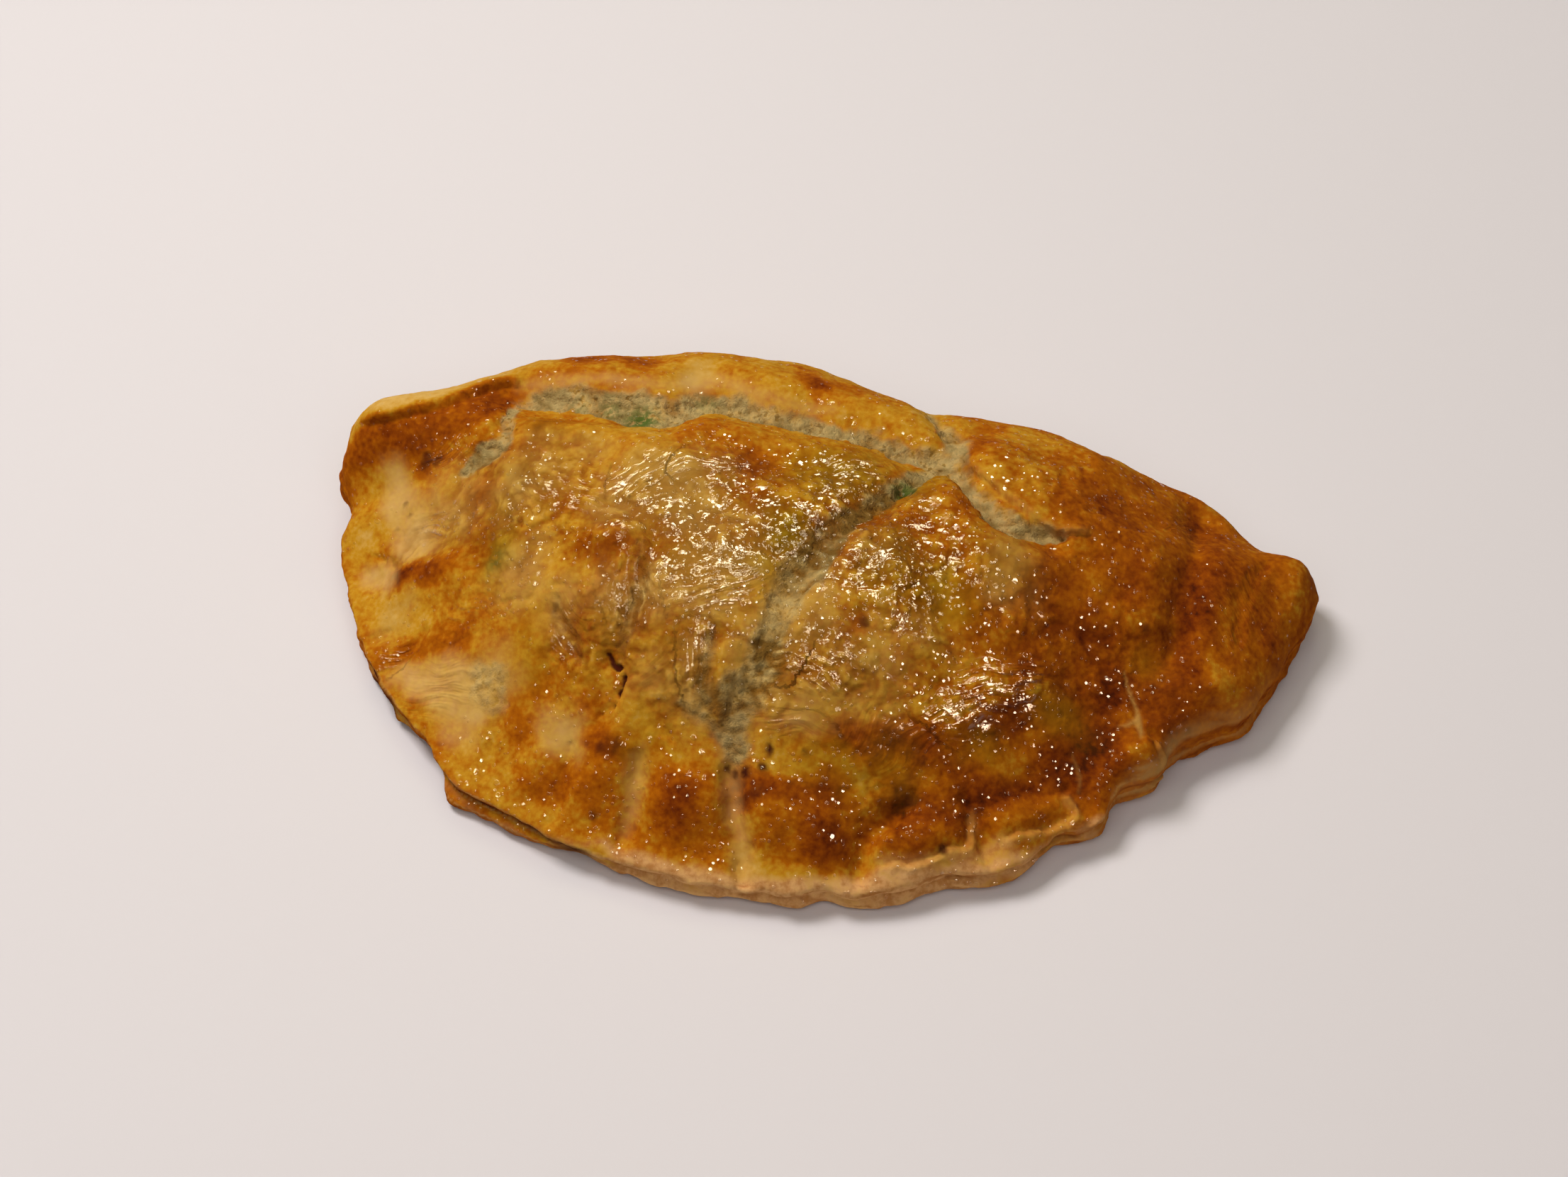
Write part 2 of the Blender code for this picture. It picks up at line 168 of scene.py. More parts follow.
# Grooves between the pleats of the rim, and in the skin: depth, and their line as place
# and half width.
GROOVES = (
    (0.6, ((-25.3, -39.5, 1), (-25.2, -45.3, 1.8), (-26.6, -51, 1.4))),
    (1.0, ((-8.5, -40, 1.2), (-7, -46.5, 1.5), (-4.7, -51.6, 1.5), (-3.6, -58, 1.2))),
    (1.0, ((24, -39, 1), (20.4, -43.6, 1.6), (17, -46.5, 1.6), (16.6, -53, 1.2))),
    (0.9, ((33.5, -38, 1), (37.5, -41.5, 1.8), (40, -46, 1.6))),
    (0.8, ((52, -31, 1), (56, -34, 1.8), (57, -38, 1.4))),
    (0.7, ((66, -19, 1), (70.5, -20, 1.6), (73, -20, 1.2))),
    (0.6, ((-38, -38, 0.8), (-39, -44, 1.4), (-40, -49, 1))),
    (0.5, ((-52, -30, 0.8), (-53, -36, 1.2), (-54, -41, 1))),
    (0.6, ((-78, -12, 0.8), (-83, -14, 1.2), (-87, -13, 1))),
    (0.5, ((-70, -14, 0.8), (-76, -19, 1.2), (-80, -21, 1))),
    (0.6, ((-27, -22, 0.8), (-26, -27, 1.4), (-24, -33, 1), (-20, -37, 0.8))),
    (0.5, ((-14, -22, 0.8), (-15, -27, 1.4), (-18, -31, 1))),
    (0.5, ((-62, 12, 0.8), (-56, 8, 1.4), (-51, 2, 1.4), (-47, -8, 1.4), (-49, -14, 0.8))),
    (0.7, ((-39, 4, 0.8), (-33, 2, 1.4), (-28, -3, 1.2), (-27, -8, 0.8))),
    (0.6, ((-30, 8, 0.8), (-22, 7, 1.4), (-14, 3, 1.4), (-8, 2, 0.8))),
    (0.5, ((13, 2, 0.8), (11, -8, 1.4), (13, -16, 1.0))),
    (0.5, ((26, 10, 0.8), (28, 0, 1.6), (26, -12, 1.4), (30, -18, 0.8))),
    (0.4, ((59.8, -9.7, 0.4), (61.4, -13, 0.5), (63, -17.1, 0.7), (63.9, -20.3, 0.6))),
    (0.6, ((71, 27, 1), (70.2, 13, 1.8), (69.7, 2.4, 2.2), (68, -4, 1))),
    (0.5, ((84, 20, 0.8), (80, 10, 1.4), (80, 2, 0.8))),
)

# Pads of the rim and swellings of the skin. A row of this table, and of those below that
# say patches, is x, y, half length, half width, value and, where it is turned, the degrees.
# Here the value is the height.
PADS = (
    (-31, -38.5, 5, 4, 1.0, 10), (-34, -45, 4.5, 3.4, 0.9, 20), (-16, -46, 6, 5, 1.3),
    (1, -45.5, 5, 4.4, 1.2), (9, -48.5, 4.6, 4, 1.2), (26, -45.5, 6, 3, 1.0, 15),
    (44, -37.5, 5, 3, 0.9, 30), (63, -23, 4.5, 3, 0.8, 35), (-45, -41, 4.6, 3.4, 0.9, 35),
    (-72, -2, 7, 2.6, 0.8, -12), (36, -22, 10, 3, 0.7, 33), (-35, -19, 3.6, 5, 0.8, 10),
    (-17, -11, 8, 8, 0.9), (-24, 12, 9, 5, 0.7), (16, -3, 4, 8, 0.8), (5, -15, 5, 5, 0.7),
    (20, -8, 4, 6, 0.6), (-6, 8, 6, 5, 0.7), (24, 17, 4, 6, 0.6, 20), (-35, -3, 4, 4, 0.6),
    (-12, -26, 4, 3, 0.6), (60, -1, 6, 2.6, 0.5, 15), (76, -6, 7, 1.6, 0.5, -35),
    (73, 34, 7, 2, 0.6, -30), (-60, -25, 7, 6, 0.4), (35, 2, 5, 4, 0.5), (45, 22, 8, 6, 0.4, -20),
    (-78, 29, 9, 4, 0.5, 10), (17, 43, 1.6, 5, 0.4), (50, 33, 9, 3, 0.4, -25),
)

# Fans of fine wrinkles: the middle that they curve round, their place, half lengths and
# turn, the space between them and their height. Fine lines of glaze follow them too.
FANS = (
    ((10, -34), (-33, 10), (8, 5), 50, 1.9, 0.26), ((-4, -60), (-22, 14), (9, 3), 15, 1.9, 0.22),
    ((-36, 40), (-15, -13), (9, 5), 15, 2.0, 0.22), ((70, -98), (36, -22), (13, 5), 33, 1.9, 0.30),
    ((-10, -50), (0, -25), (4, 6), 50, 1.7, 0.2), ((-60, 60), (-71, 6), (6, 3), -20, 1.8, 0.22),
    ((-90, 60), (-71, 20), (5, 3), 10, 1.6, 0.2), ((-50, 40), (-66, -25), (9, 6), 0, 2.2, 0.24),
    ((4, -60), (1, -33.5), (9, 2), 0, 1.6, 0.16), ((-72, -60), (-76, -17), (5, 3), 30, 1.7, 0.22),
    ((45, 60), (68, 26), (6, 8), 0, 2.2, 0.14), ((110, 40), (80, 8), (8, 12), 0, 3.0, 0.14),
    ((60, -60), (20, -33), (10, 4), 0, 1.9, 0.16), ((-20, 60), (-44, 6), (9, 7), 0, 2.4, 0.16),
    ((-70, -20), (-30, -14), (5, 8), 10, 1.9, 0.20), ((-80, -60), (-41, -20), (5, 7), 10, 1.9, 0.20),
    ((30, 40), (6, -26), (8, 4), 20, 1.9, 0.20), ((60, -20), (-17, -26), (4, 6), 0, 1.9, 0.22),
    ((-60, 20), (-20, -28), (7, 5), 0, 1.9, 0.12),
    ((60, 90), (30, 33), (8, 6), -30, 2.0, 0.14), ((40, -60), (8, 18), (8, 6), 0, 1.9, 0.18),
    ((10, 80), (-60, -12), (8, 4), 0, 2.0, 0.18),
)

# Edges where a sheet of dough ends on top of another, the upper one on the line's left:
# height, how far the sheet's roll reaches, how light its edge is (partly pale dough, partly a
# painted highlight), and the line.
SHEET_EDGES = (
    # Flaps at the left and at the right.
    (1.1, 4.0, 0.0, ((-92.5, 26), (-83.8, 25.6), (-75.8, 26.8), (-70.7, 29.4), (-66.8, 33),
                     (-63, 35.2), (-60, 34.6))),
    (0.9, 3.0, 0.3, ((24.8, 26.6), (31.6, 20.6), (37.3, 15.1), (41.7, 12), (46.5, 11), (52, 12))),
    # Lips of the front rim, from left to right.
    (1.1, 2.0, 0.4, ((35.2, -38), (35.6, -43), (34.6, -45.3), (31.2, -46.5), (25.8, -49.6),
                     (18, -51.2))),
    (1.0, 2.0, 0.4, ((50.2, -31.5), (53.3, -34.2), (52.2, -36.2), (46.5, -39.7), (40, -43))),
    (0.9, 2.0, 0.3, ((66.2, -19.5), (68.2, -22.4), (65.3, -25.3), (59.5, -28.8))),
)

# Thin raised ridges of pale dough: height, how light they are, and their line as place and
# half width.
RIDGES = (
    (0.25, 0.8, ((59.8, -9.7, 0.0), (61.4, -13, 0.1), (62.8, -15.5, 0.2), (63, -17.1, 0.5),
                 (63.6, -18.8, 0.3), (63.9, -20.3, 0.0))),
    (0.20, 0.8, ((63, -17.1, 0.4), (61.4, -18.2, 0.1), (59.7, -18.6, 0.0))),
    (0.15, 0.3, ((52, -25, 0.0), (53.4, -28, 0.2), (54, -31, 0.0))),
)

# Patches where the thin skin over the filling is crumpled, and how much.
CRUMPLED = (
    (0, 6, 30, 16, 1.0), (-24, -4, 20, 16, 1.0), (18, -6, 20, 16, 1.0), (4, -24, 22, 10, 0.9),
    (-17, -26, 9, 9, 1.2), (-54, 6, 16, 16, 0.9), (36, -22, 13, 7, 0.7, 33), (45, 18, 20, 12, 0.5, -30),
    (-34, -18, 12, 14, 0.9), (50, -6, 18, 14, 0.6), (-74, 2, 9, 8, 0.4), (24, -42, 12, 6, 0.5),
)

# Patches of filling that leaked out at the seam of the rim.
LEAKS = (
    (-79, -19.5, 3, 1.6, 1.0, -60), (-75.5, -25, 3.5, 1.8, 1.0, -60), (-36, -52.5, 4, 1.6, 1.0, -15),
    (-62, -40, 4, 1.2, 1.0, -40),
)


def ease(value, low, high):
    """0 below low, 1 above high, and smooth in between."""
    share = np.clip((value - low) / (high - low), 0, 1)
    return share * share * (3 - 2 * share)


def smooth_line(corners):
    """Open Catmull-Rom line through the corners, whatever number of values they have."""
    p = np.array(corners, float)
    p = np.vstack([2 * p[0] - p[1], p, 2 * p[-1] - p[-2]])
    before, start, end, after = p[:-3, None], p[1:-2, None], p[2:-1, None], p[3:, None]
    t = (np.arange(LINE_STEPS) / LINE_STEPS)[None, :, None]
    straight = 2 * start + (end - before) * t
    curved = (2 * before - 5 * start + 4 * end - after) * t**2
    curved = curved + (3 * start - before - 3 * end + after) * t**3
    line = ((straight + curved) / 2).reshape(-1, p.shape[1])
    return np.vstack([line, p[-2]])


def measure(plan, line, reach):
    """Distance of each point to a line, positive on its left, and its place along it."""
    apart = np.full(len(plan), FAR)
    along = np.zeros(len(plan))
    places = line[:, :2]
    near = ((plan > places.min(0) - reach) & (plan < places.max(0) + reach)).all(1)
    near = np.nonzero(near)[0]
    start, leg = places[:-1], np.diff(places, axis=0)
    share = ((plan[near, None] - start) * leg).sum(2) / (leg**2).sum(1)
    share = np.clip(share, 0, 1)
    gap = plan[near, None] - (start + share[..., None] * leg)
    square = (gap**2).sum(2)
    best = square.argmin(1)
    rows = np.arange(len(near))
    turn = leg[best, 0] * gap[rows, best, 1] - leg[best, 1] * gap[rows, best, 0]
    apart[near] = np.sqrt(square[rows, best]) * np.where(turn < 0, -1, 1)
    along[near] = (best + share[rows, best]) / len(leg)
    return apart, along


def stroke(plan, corners):
    """How far each point lies inside a line that has a half width at each corner.

    Also that as a share of the half width, and the point's side of the line.
    """
    line = smooth_line(corners)
    apart, along = measure(plan, line, STROKE_REACH)
    width = np.interp(along, np.linspace(0, 1, len(line)), line[:, 2])
    inside = width - np.abs(apart)
    return inside, inside / np.maximum(width, 0.1), np.sign(apart)


def bell(values, middle, width):
    """1 at the middle, falling to 0 on both sides."""
    return np.exp(-(((values - middle) / width) ** 2))


def patch(plan, x, y, length, width, turn=0.0):
    """1 round a place, falling to 0 past its half length and half width."""
    east, north = (plan - np.array((x, y))).T
    angle = math.radians(turn)
    along = east * math.cos(angle) + north * math.sin(angle)
    across = north * math.cos(angle) - east * math.sin(angle)
    return np.exp(-(((along / length) ** 2 + (across / width) ** 2) ** PATCH_EDGE))


def patches(plan, table):
    """The value of each row, and its patch."""
    for x, y, length, width, value, *turn in table:
        yield value, patch(plan, x, y, length, width, *turn)


def strokes(plan, table, low, high, wider=0.0):
    """The value of each row, and its stroke, which fades in between those depths inside."""
    for value, corners in table:
        yield value, ease(stroke(plan, corners)[0] + wider, low, high)


def spots(plan, table):
    """The value of each row, and its round spot."""
    for x, y, radius, value in table:
        apart = np.linalg.norm(plan - np.array((x, y)), axis=1)
        yield value, 1 - ease(apart, 0.5 * radius, 1.3 * radius)


def strongest(rows):
    """The largest value at each point, where a value counts by its share there."""
    return reduce(np.maximum, (value * share for value, share in rows))


def draw_towards(values, rows):
    """Change the values towards each row's own in turn, by its share there."""
    for target, share in rows:
        values += (target - values) * share


def grain(points, size, seed, octaves=1):
    """Smooth noise from about -1 to 1, with lumps of that size."""
    places = points / np.array(size, float)
    if octaves == 1:
        return np.array([noise.noise(Vector((x, y, z + seed))) for x, y, z in places])
    return np.array([noise.fractal(Vector((x, y, z + seed)), 1.0, 2.0, octaves) for x, y, z in places])


def lumps(points, layers):
    """Height of the layers of noise together."""
    return sum(height * grain(points, size, seed, octaves) for height, size, seed, octaves in layers)


def sway(points, size, seeds, octaves=1):
    """Smooth noise in two directions."""
    return np.column_stack([grain(points, size, seed, octaves) for seed in seeds])


def creases(points, size, seed):
    """Sharp creases, from 0 in between to 1 on a crease."""
    return 1 - np.clip(np.abs(grain(points, size, seed)) * CREASE_SHARPNESS, 0, 1)


def blisters(points, size, seed):
    """Round blisters of unlike heights, from 0 to 1."""
    height = np.zeros(len(points))
    for index, (x, y, z) in enumerate(points / size):
        apart, centres = noise.voronoi(Vector((x, y, z + seed)))
        share = 1 - (apart[0] / BLISTER_RADIUS) ** 2
        if share > 0:
            height[index] = share * max(0.0, noise.cell(centres[0] * BLISTER_SHUFFLE))
    return height


def round_middle(plan, middle, place):
    """Distance from a middle, and the way round it that starts at a place."""
    out = np.array(place, float) - middle
    radius = np.hypot(*out)
    x, y = (plan - np.array(middle)).T
    ahead = (x * out[0] + y * out[1]) / radius
    aside = (y * out[0] - x * out[1]) / radius
    return np.hypot(ahead, aside), radius * np.arctan2(aside, ahead)


class Relief:
    """Height to add to the crust along its normals, and the marks that its finish reads."""

    def __init__(self, points, normals):
        self.points = points
        self.plan = points[:, :2]
        self.normals = normals
        self.upward = ease(normals[:, 2], 0.1, 0.55)
        self.ragged = RAGGED * sway(points, 2.6, (11.0, 23.0), 3)
        self.bend = sway(points, 7.0, (31.0, 37.0))
        self.bent = points.copy()
        self.bent[:, :2] += BEND * self.bend
        self.height = np.zeros(len(points))
        self.marks = {"hollow": np.zeros(len(points))}

    def add(self, height):
        """Raise the skin, but not the walls."""
        self.height += height * self.upward

    def most(self, name, value):
        """Raise a mark to the value where it is less."""
        self.marks[name] = np.maximum(self.marks.get(name, 0.0), value * self.upward)

    def tear(self):
        """Sunken floors of rough pale dough, with a sharp lip on one side."""
        wide = 0.9 * grain(self.points, 4.0, 13.0, 2)
        drop = np.zeros(len(self.points))
        curl = np.zeros(len(self.points))
        for depth, lip_side, paleness, corners in TEARS:
            inside, share, side = stroke(self.plan + self.ragged, corners)
            inside = inside + wide
            lip = lip_side * side > 0
            sharp = ease(inside, *SHARP_LIP)
            self.most("torn", paleness * np.where(lip, sharp, ease(inside, *SOFT_EDGE)))
            drop = np.maximum(drop, depth * np.where(lip, sharp, ease(share, *FLOOR_SLOPE)))
            curl = np.maximum(curl, 0.5 * depth * lip * bell(inside, -1.4, 1.0))
        torn = self.marks["torn"]
        self.add(curl * (1 - torn) - drop)
        folds = torn * creases(self.bent, (4.5, 2.6, 3.0), 65.0) ** 2
        self.add(torn * lumps(self.points, TORN_LUMPS))
        self.add(-0.42 * folds)
        # Painted shade in the folds of the torn dough.
        self.marks["hollow"] += 0.8 * folds

    def crack(self):
        """Narrow open cracks, which break off here and there."""
        whole = ease(grain(self.points, 1.8, 71.0), -0.45, 0.0)
        for depth, darkness, corners in CRACKS:
            inside = stroke(self.plan + 0.8 * self.ragged, corners)[0]
            here = ease(inside, -0.45, 0.3) * whole
            # The crack mark is painted shade that darkens the crack.
            self.most("crack", darkness * here)
            self.add(-depth * here)
            self.add(0.25 * depth * bell(inside, -1.2, 0.8))

    def swell(self):
        """Pads of the rim, swellings of the skin, and the grooves between them."""
        grooved = np.zeros(len(self.points))
        for depth, corners in GROOVES:
            share = stroke(self.plan + 0.8 * self.ragged, corners)[1]
            grooved = np.maximum(grooved, depth * ease(share, -0.9, 0.9))
        for rise, here in patches(self.plan + 0.6 * self.bend, PADS):
            self.add(rise * here)
        self.add(-grooved)

    def fold(self):
        """Edges of the sheets of dough that lie on top, and thin ridges."""
        for rise, reach, lightness, corners in SHEET_EDGES:
            apart, along = measure(self.plan + 0.6 * self.ragged, smooth_line(corners), SHEET_REACH)
            ends = ease(along, 0.0, 0.12) * (1 - ease(along, 0.88, 1.0))
            above = np.exp(-np.clip(apart, 0, FAR) / reach)
            below = -0.7 * np.exp(np.clip(apart, -FAR, 0) / (0.7 * reach))
            side = ease(apart, -0.45, 0.45)
            self.add(rise * (below + (above - below) * side) * ends)
            # Light line along the sheet's edge, partly pale dough and partly a painted highlight.
            self.most("folded", lightness * ends * bell(apart, 0.2, 0.7))
        for rise, lightness, corners in RIDGES:
            here = ease(stroke(self.plan + 0.3 * self.ragged, corners)[0], -0.5, 0.4)
            self.add(rise * here)
            self.most("folded", lightness * here)

    def wrinkle(self):
        """Crumpled skin, fans of fine wrinkles and small blisters."""
        before = self.height.copy()
        crumple = strongest(patches(self.bent[:, :2], CRUMPLED))
        crumple *= ease(grain(self.points, 11.0, 73.0, 2), -0.8, 0.1)
        skin = crumple * (1 - 0.7 * self.marks["torn"])
        for depth, size, seed in CREASES:
            self.add(-depth * skin * creases(self.bent, size, seed) ** 2)
        self.add(0.16 * skin * grain(self.bent, (1.7, 1.5, 1.6), 47.0))
        self.comb()
        self.add(0.14 * (1 - self.marks["torn"]) * blisters(self.bent, 2.4, 53.0))
        self.add(0.10 * grain(self.points, 2.2, 87.0, 2))
        self.marks["crumple"] = crumple
        # Painted shade where the skin sank, and painted light where it rose.
        self.marks["hollow"] += np.clip(4 * (before - self.height), -1, 1)

    def comb(self):
        """Fans of fine wrinkles.

        Their marks are how combed the skin is there, and a point's place across and along
        the wrinkles of the fan that is strongest.
        """
        for name in ("combed", "across", "way"):
            self.marks[name] = np.zeros(len(self.points))
        for middle, place, halves, turn, spacing, rise in FANS:
            near = patch(self.plan + 1.4 * self.bend, *place, *halves, turn)
            rows = np.nonzero(near > FAN_END)[0]
            away, way = round_middle(self.bent[rows, :2], middle, place)
            fine = near[rows] * rise / COMBED_RISE
            most = fine > self.marks["combed"][rows]
            for name, value in (("combed", fine), ("across", away), ("way", way)):
                self.marks[name][rows[most]] = value[most]
            shift = 2.5 * grain(self.points[rows], 2.6, 77.0)
            ridge = (0.5 + 0.5 * np.cos(math.tau * away / spacing + shift)) ** 2
            pieces = grain(np.column_stack([away, way / 2.6, 0 * way]), 2.0, 79.0)
            stroked = np.zeros(len(self.points))
            stroked[rows] = near[rows] * (ridge * ease(pieces, -0.3, 0.3) - 0.3)
            self.add(1.3 * rise * stroked)

    def roughen(self):
        """Soft lumps all over, and the flaky layers of the cut edge."""
        self.add(lumps(self.points, SKIN_LUMPS))
        flaps = ease(self.points[:, 1], 30, 42)
        self.add(0.16 * flaps * grain(self.points, 3.0, 83.0))
        wall = 1 - self.upward
        layers = grain(self.points, (8.0, 8.0, 1.3), 91.0, 2)
        flakes = grain(self.points, (3.4, 3.4, 3.0), 93.0, 2)
        frill = grain(self.points, (5.0, 5.0, 9.0), 95.0)
        self.height += wall * (0.30 * layers + 0.46 * flakes + 0.55 * frill)
        # Painted shade in the sunken layers of the wall.
        self.marks["hollow"] += wall * np.clip(-1.5 * layers, -1, 1)


def shape_crust(points, normals):
    """The relief of the whole crust."""
    relief = Relief(points, normals)
    relief.tear()
    relief.crack()
    relief.swell()
    relief.fold()
    relief.wrinkle()
    relief.roughen()
    return relief


# Patches of browning, from 0, pale, to 1, dark.
BROWNED = (
    # Middle flap.
    (-60, 43, 6, 4, 0.3, 20), (-49, 44, 6, 4, 0.74), (-42, 46, 6, 3, 0.68), (-38, 43, 4, 3, 0.74),
    (-47, 38.6, 7, 2.6, 0.58), (-32, 43, 4, 4, 0.48), (-26, 43, 4, 4, 0.36), (-19, 43, 5, 4, 0.48),
    (-13, 45, 4, 4, 0.44), (-7, 45, 4, 4, 0.6), (-3, 41, 3.2, 3.0, 0.92), (3, 44, 6, 4, 0.6),
    (-12, 39, 7, 2.4, 0.44), (2, 38, 6, 2.4, 0.56), (10, 43, 4, 5, 0.54), (17, 42, 2, 6, 0.28),
    (12, 34, 5, 2.4, 0.44),
    # Left flap and end.
    (-85, 30, 9, 4, 0.16, 5), (-75, 33, 7, 4, 0.24, 25), (-68, 39, 7, 4, 0.32, 25),
    (-92, 28, 3, 4, 0.4), (-74, 19, 4, 2.4, 0.72), (-66, 21, 3.4, 2.6, 0.6), (-72, 15, 3, 3, 0.58),
    (-90, 18, 3.4, 3, 0.56), (-90, 12, 3.4, 4, 0.56), (-86, 10, 3.4, 6, 0.42), (-88, 2, 3, 4, 0.44),
    (-75, -2.4, 5, 2.2, 0.84, -16), (-69, -5, 4, 2.4, 0.76, -16), (-85, -5, 3.4, 4, 0.5),
    (-79, -8, 4, 3, 0.4), (-80, -15, 4, 3, 0.54, 30), (-73, -16, 4, 2, 0.66, 20),
    (-66, -16, 6, 3.4, 0.66, -10), (-64, -8, 5, 5, 0.52),
    # Left of the middle.
    (-63, 9, 4, 3, 0.58), (-62, 1, 4, 4, 0.48), (-56, 12, 5, 4, 0.46), (-50, 8, 4, 5, 0.42),
    (-57, 27, 2.6, 3, 0.56), (-50, 25, 5, 3, 0.6), (-44, 20, 5, 3, 0.4), (-34, 21, 6, 4, 0.4),
    (-45, 12, 5, 4, 0.42), (-24, 24, 4, 3, 0.54), (-20, 20, 5, 4, 0.58), (-13, 17, 5, 5, 0.6),
    (-8, 19, 3, 3, 0.63), (-13, 24, 6, 3, 0.56), (-4, 22, 4, 4, 0.46), (-35, -6, 2.6, 3.4, 0.57),
    (-36, -11, 4, 3, 0.52), (-46, -4, 6, 5, 0.42), (-56, -3, 4, 6, 0.46), (-54, -14, 5, 4, 0.5),
    (-28, 12, 8, 5, 0.3), (-22, 5, 8, 4, 0.3), (-8, 4, 6, 5, 0.44), (-17, -9, 8, 6, 0.3),
    (-8, -12, 4, 5, 0.4), (-17, -20, 7, 4, 0.42), (-34, -19, 3.4, 5, 0.34),
    # Front left, and the pads of the front rim.
    (-46, -28, 5, 5, 0.54), (-48, -34, 4, 4, 0.62), (-56, -37, 5, 3, 0.46, 35),
    (-47, -40, 4, 3, 0.56, 20), (-41, -43, 5, 3.4, 0.72, 20), (-36, -32, 4, 3, 0.56),
    (-38, -22, 3, 4, 0.46), (-31, -38.5, 4.6, 3.4, 0.86), (-33, -45, 4, 3, 0.66, 20),
    (-22, -51, 6, 3, 0.62), (-16, -46, 6.4, 5, 0.76), (-17, -45, 4, 3.4, 0.84), (-24, -35, 6, 5, 0.48),
    (-23, -26, 5, 5, 0.44), (-11, -52, 4, 3, 0.56), (0, -43, 8, 3, 0.8), (-2, -43, 4, 2.4, 0.86),
    (8, -49, 6, 4, 0.76), (10, -48, 4, 3, 0.84), (1, -50, 5, 3, 0.62), (9, -42, 6, 2, 0.74),
    (0, -38, 8, 2, 0.46),
    # Right of the middle.
    (5, -20, 13, 9, 0.4), (-19, -25, 11, 8, 0.42), (15, -28, 10, 4, 0.44), (20, -23, 6, 5, 0.48),
    (30, -14, 5, 4, 0.54), (15, -34, 7, 3, 0.78, 10), (25, -33, 6, 3, 0.8, 15), (20, -38, 4, 3, 0.58),
    (38, -26, 9, 3, 0.8, 33), (32, -34, 4, 3, 0.74), (28, -41, 7, 3.4, 0.86, 15),
    (23, -40, 2.4, 2.4, 0.88), (42, -34, 6, 3, 0.93, 15), (37, -37, 5, 3, 0.9, 15),
    (24, -46, 5, 2.4, 0.7, 15), (43, -39, 5, 2, 0.64, 30), (50, -35, 3, 2, 0.62, 35),
    (16, -47, 3, 3, 0.64), (51, -28, 6, 4, 0.9, 20), (56, -22, 6, 4, 0.88, 30),
    (59, -25, 5, 3, 0.82, 30), (64, -22.6, 2, 2, 0.62, 30), (55, -14, 6, 5, 0.8), (64, -12, 5, 4, 0.84),
    (70, -8, 5, 4, 0.86), (70, -15, 5, 4, 0.82, 30), (42, -12, 5, 5, 0.7), (46, 2, 6, 6, 0.7),
    (52, -4, 7, 4, 0.76, 20), (60, 5, 5, 5, 0.72), (60, -1, 5, 1.8, 0.56, 20), (35, 2, 5, 4, 0.48),
    (20, 17, 4, 5, 0.5), (27, 12, 4, 6, 0.58), (22, 6, 6, 4, 0.52), (7, -16, 5, 4, 0.46),
    (5, -4, 3, 4, 0.48), (12.5, -17, 2, 2, 0.62),
    # Right flap and tail.
    (28, 45, 6, 3, 0.68), (38, 43, 6, 3, 0.64, -10), (28, 31, 2.6, 3.4, 0.7), (34, 30, 4, 4, 0.52),
    (38, 23, 7, 4, 0.44, -20), (46, 30, 6, 4, 0.54, -20), (48, 20, 5, 4, 0.6), (57, 18, 5, 4, 0.72),
    (50, 13, 6, 2, 0.7), (58, 27, 5, 5, 0.6), (52, 38, 8, 3, 0.58, -20), (64, 17, 4, 4, 0.62),
    (66, 24, 3, 5, 0.7, -20), (70, 31, 2, 5, 0.84), (64, 36, 5, 3, 0.66, -30),
    (76, 33, 6, 2.6, 0.58, -30), (73, 22, 3, 7, 0.78), (75, 13, 4, 6, 0.8), (71, 5, 4, 7, 0.92),
    (74, -3, 4, 4, 0.8), (82, 14, 5, 7, 0.72), (82, 4, 4, 5, 0.7), (78, -6, 6, 2, 0.56, -40),
    (76, -12, 5, 3, 0.74, -40), (88, 19, 3, 6, 0.68), (93, 19, 2, 7, 0.64), (86, 6, 2, 6, 0.78, 20),
)

# Browned bands: browning, and their line as place and half width.
SINGED = (
    (0.76, ((-93, 22.4, 1.6), (-88, 22.8, 2.2), (-81.7, 23.2, 2.6), (-75, 24.0, 3.0),
            (-69, 26.4, 3.6), (-65.4, 29.8, 3.6), (-62.8, 33.0, 2.6))),
    # Ledge of the lower sheet at the front left.
    (0.68, ((-76, -29.4, 0.6), (-66.3, -37.8, 1.2), (-56.3, -46, 1.6), (-47.8, -49.6, 1.2),
            (-40, -52.6, 0.8))),
)

# Dough that stayed pale: how pale, and its line as place and half width.
PALE = (
    (0.8, ((-82, 18.6, 2.0), (-80.4, 13.4, 3.4), (-77.6, 8, 3.8), (-73, 3.4, 2.6))),
    (1.0, ((-84.4, 1.6, 1.6), (-81.6, 0.4, 2.4), (-79.4, -1.8, 1.8))),
    (0.7, ((-74, -21, 2.0), (-69, -22.4, 3.6), (-64, -24.4, 5.0), (-60, -28, 4.0), (-57, -31, 2.0))),
    (0.4, ((-65, -29, 1.5), (-60, -33, 2.4), (-57, -35, 1.2))),
    (0.45, ((-43.6, -32.6, 1.2), (-40.4, -35.6, 2.6), (-36.4, -39.6, 1.2))),
    (0.45, ((-25.3, -38.6, 0.6), (-25.2, -43.3, 1.6), (-26.4, -49.4, 0.6))),
    (0.5, ((-7.8, -40.5, 0.8), (-6.8, -46.5, 1.6), (-4.7, -51.6, 1.8), (-3.6, -57, 2.4))),
    (0.5, ((-60, 35, 0.8), (-50, 36, 1.2), (-40, 36, 1.2), (-30, 37.4, 1.6), (-26, 39, 2.4),
           (-20, 38.6, 1.4), (-10, 35.6, 0.8), (0, 34.6, 0.6))),
    (0.4, ((-6, -33.6, 0.4), (2, -33.4, 0.8), (9, -33.8, 0.4))),
)

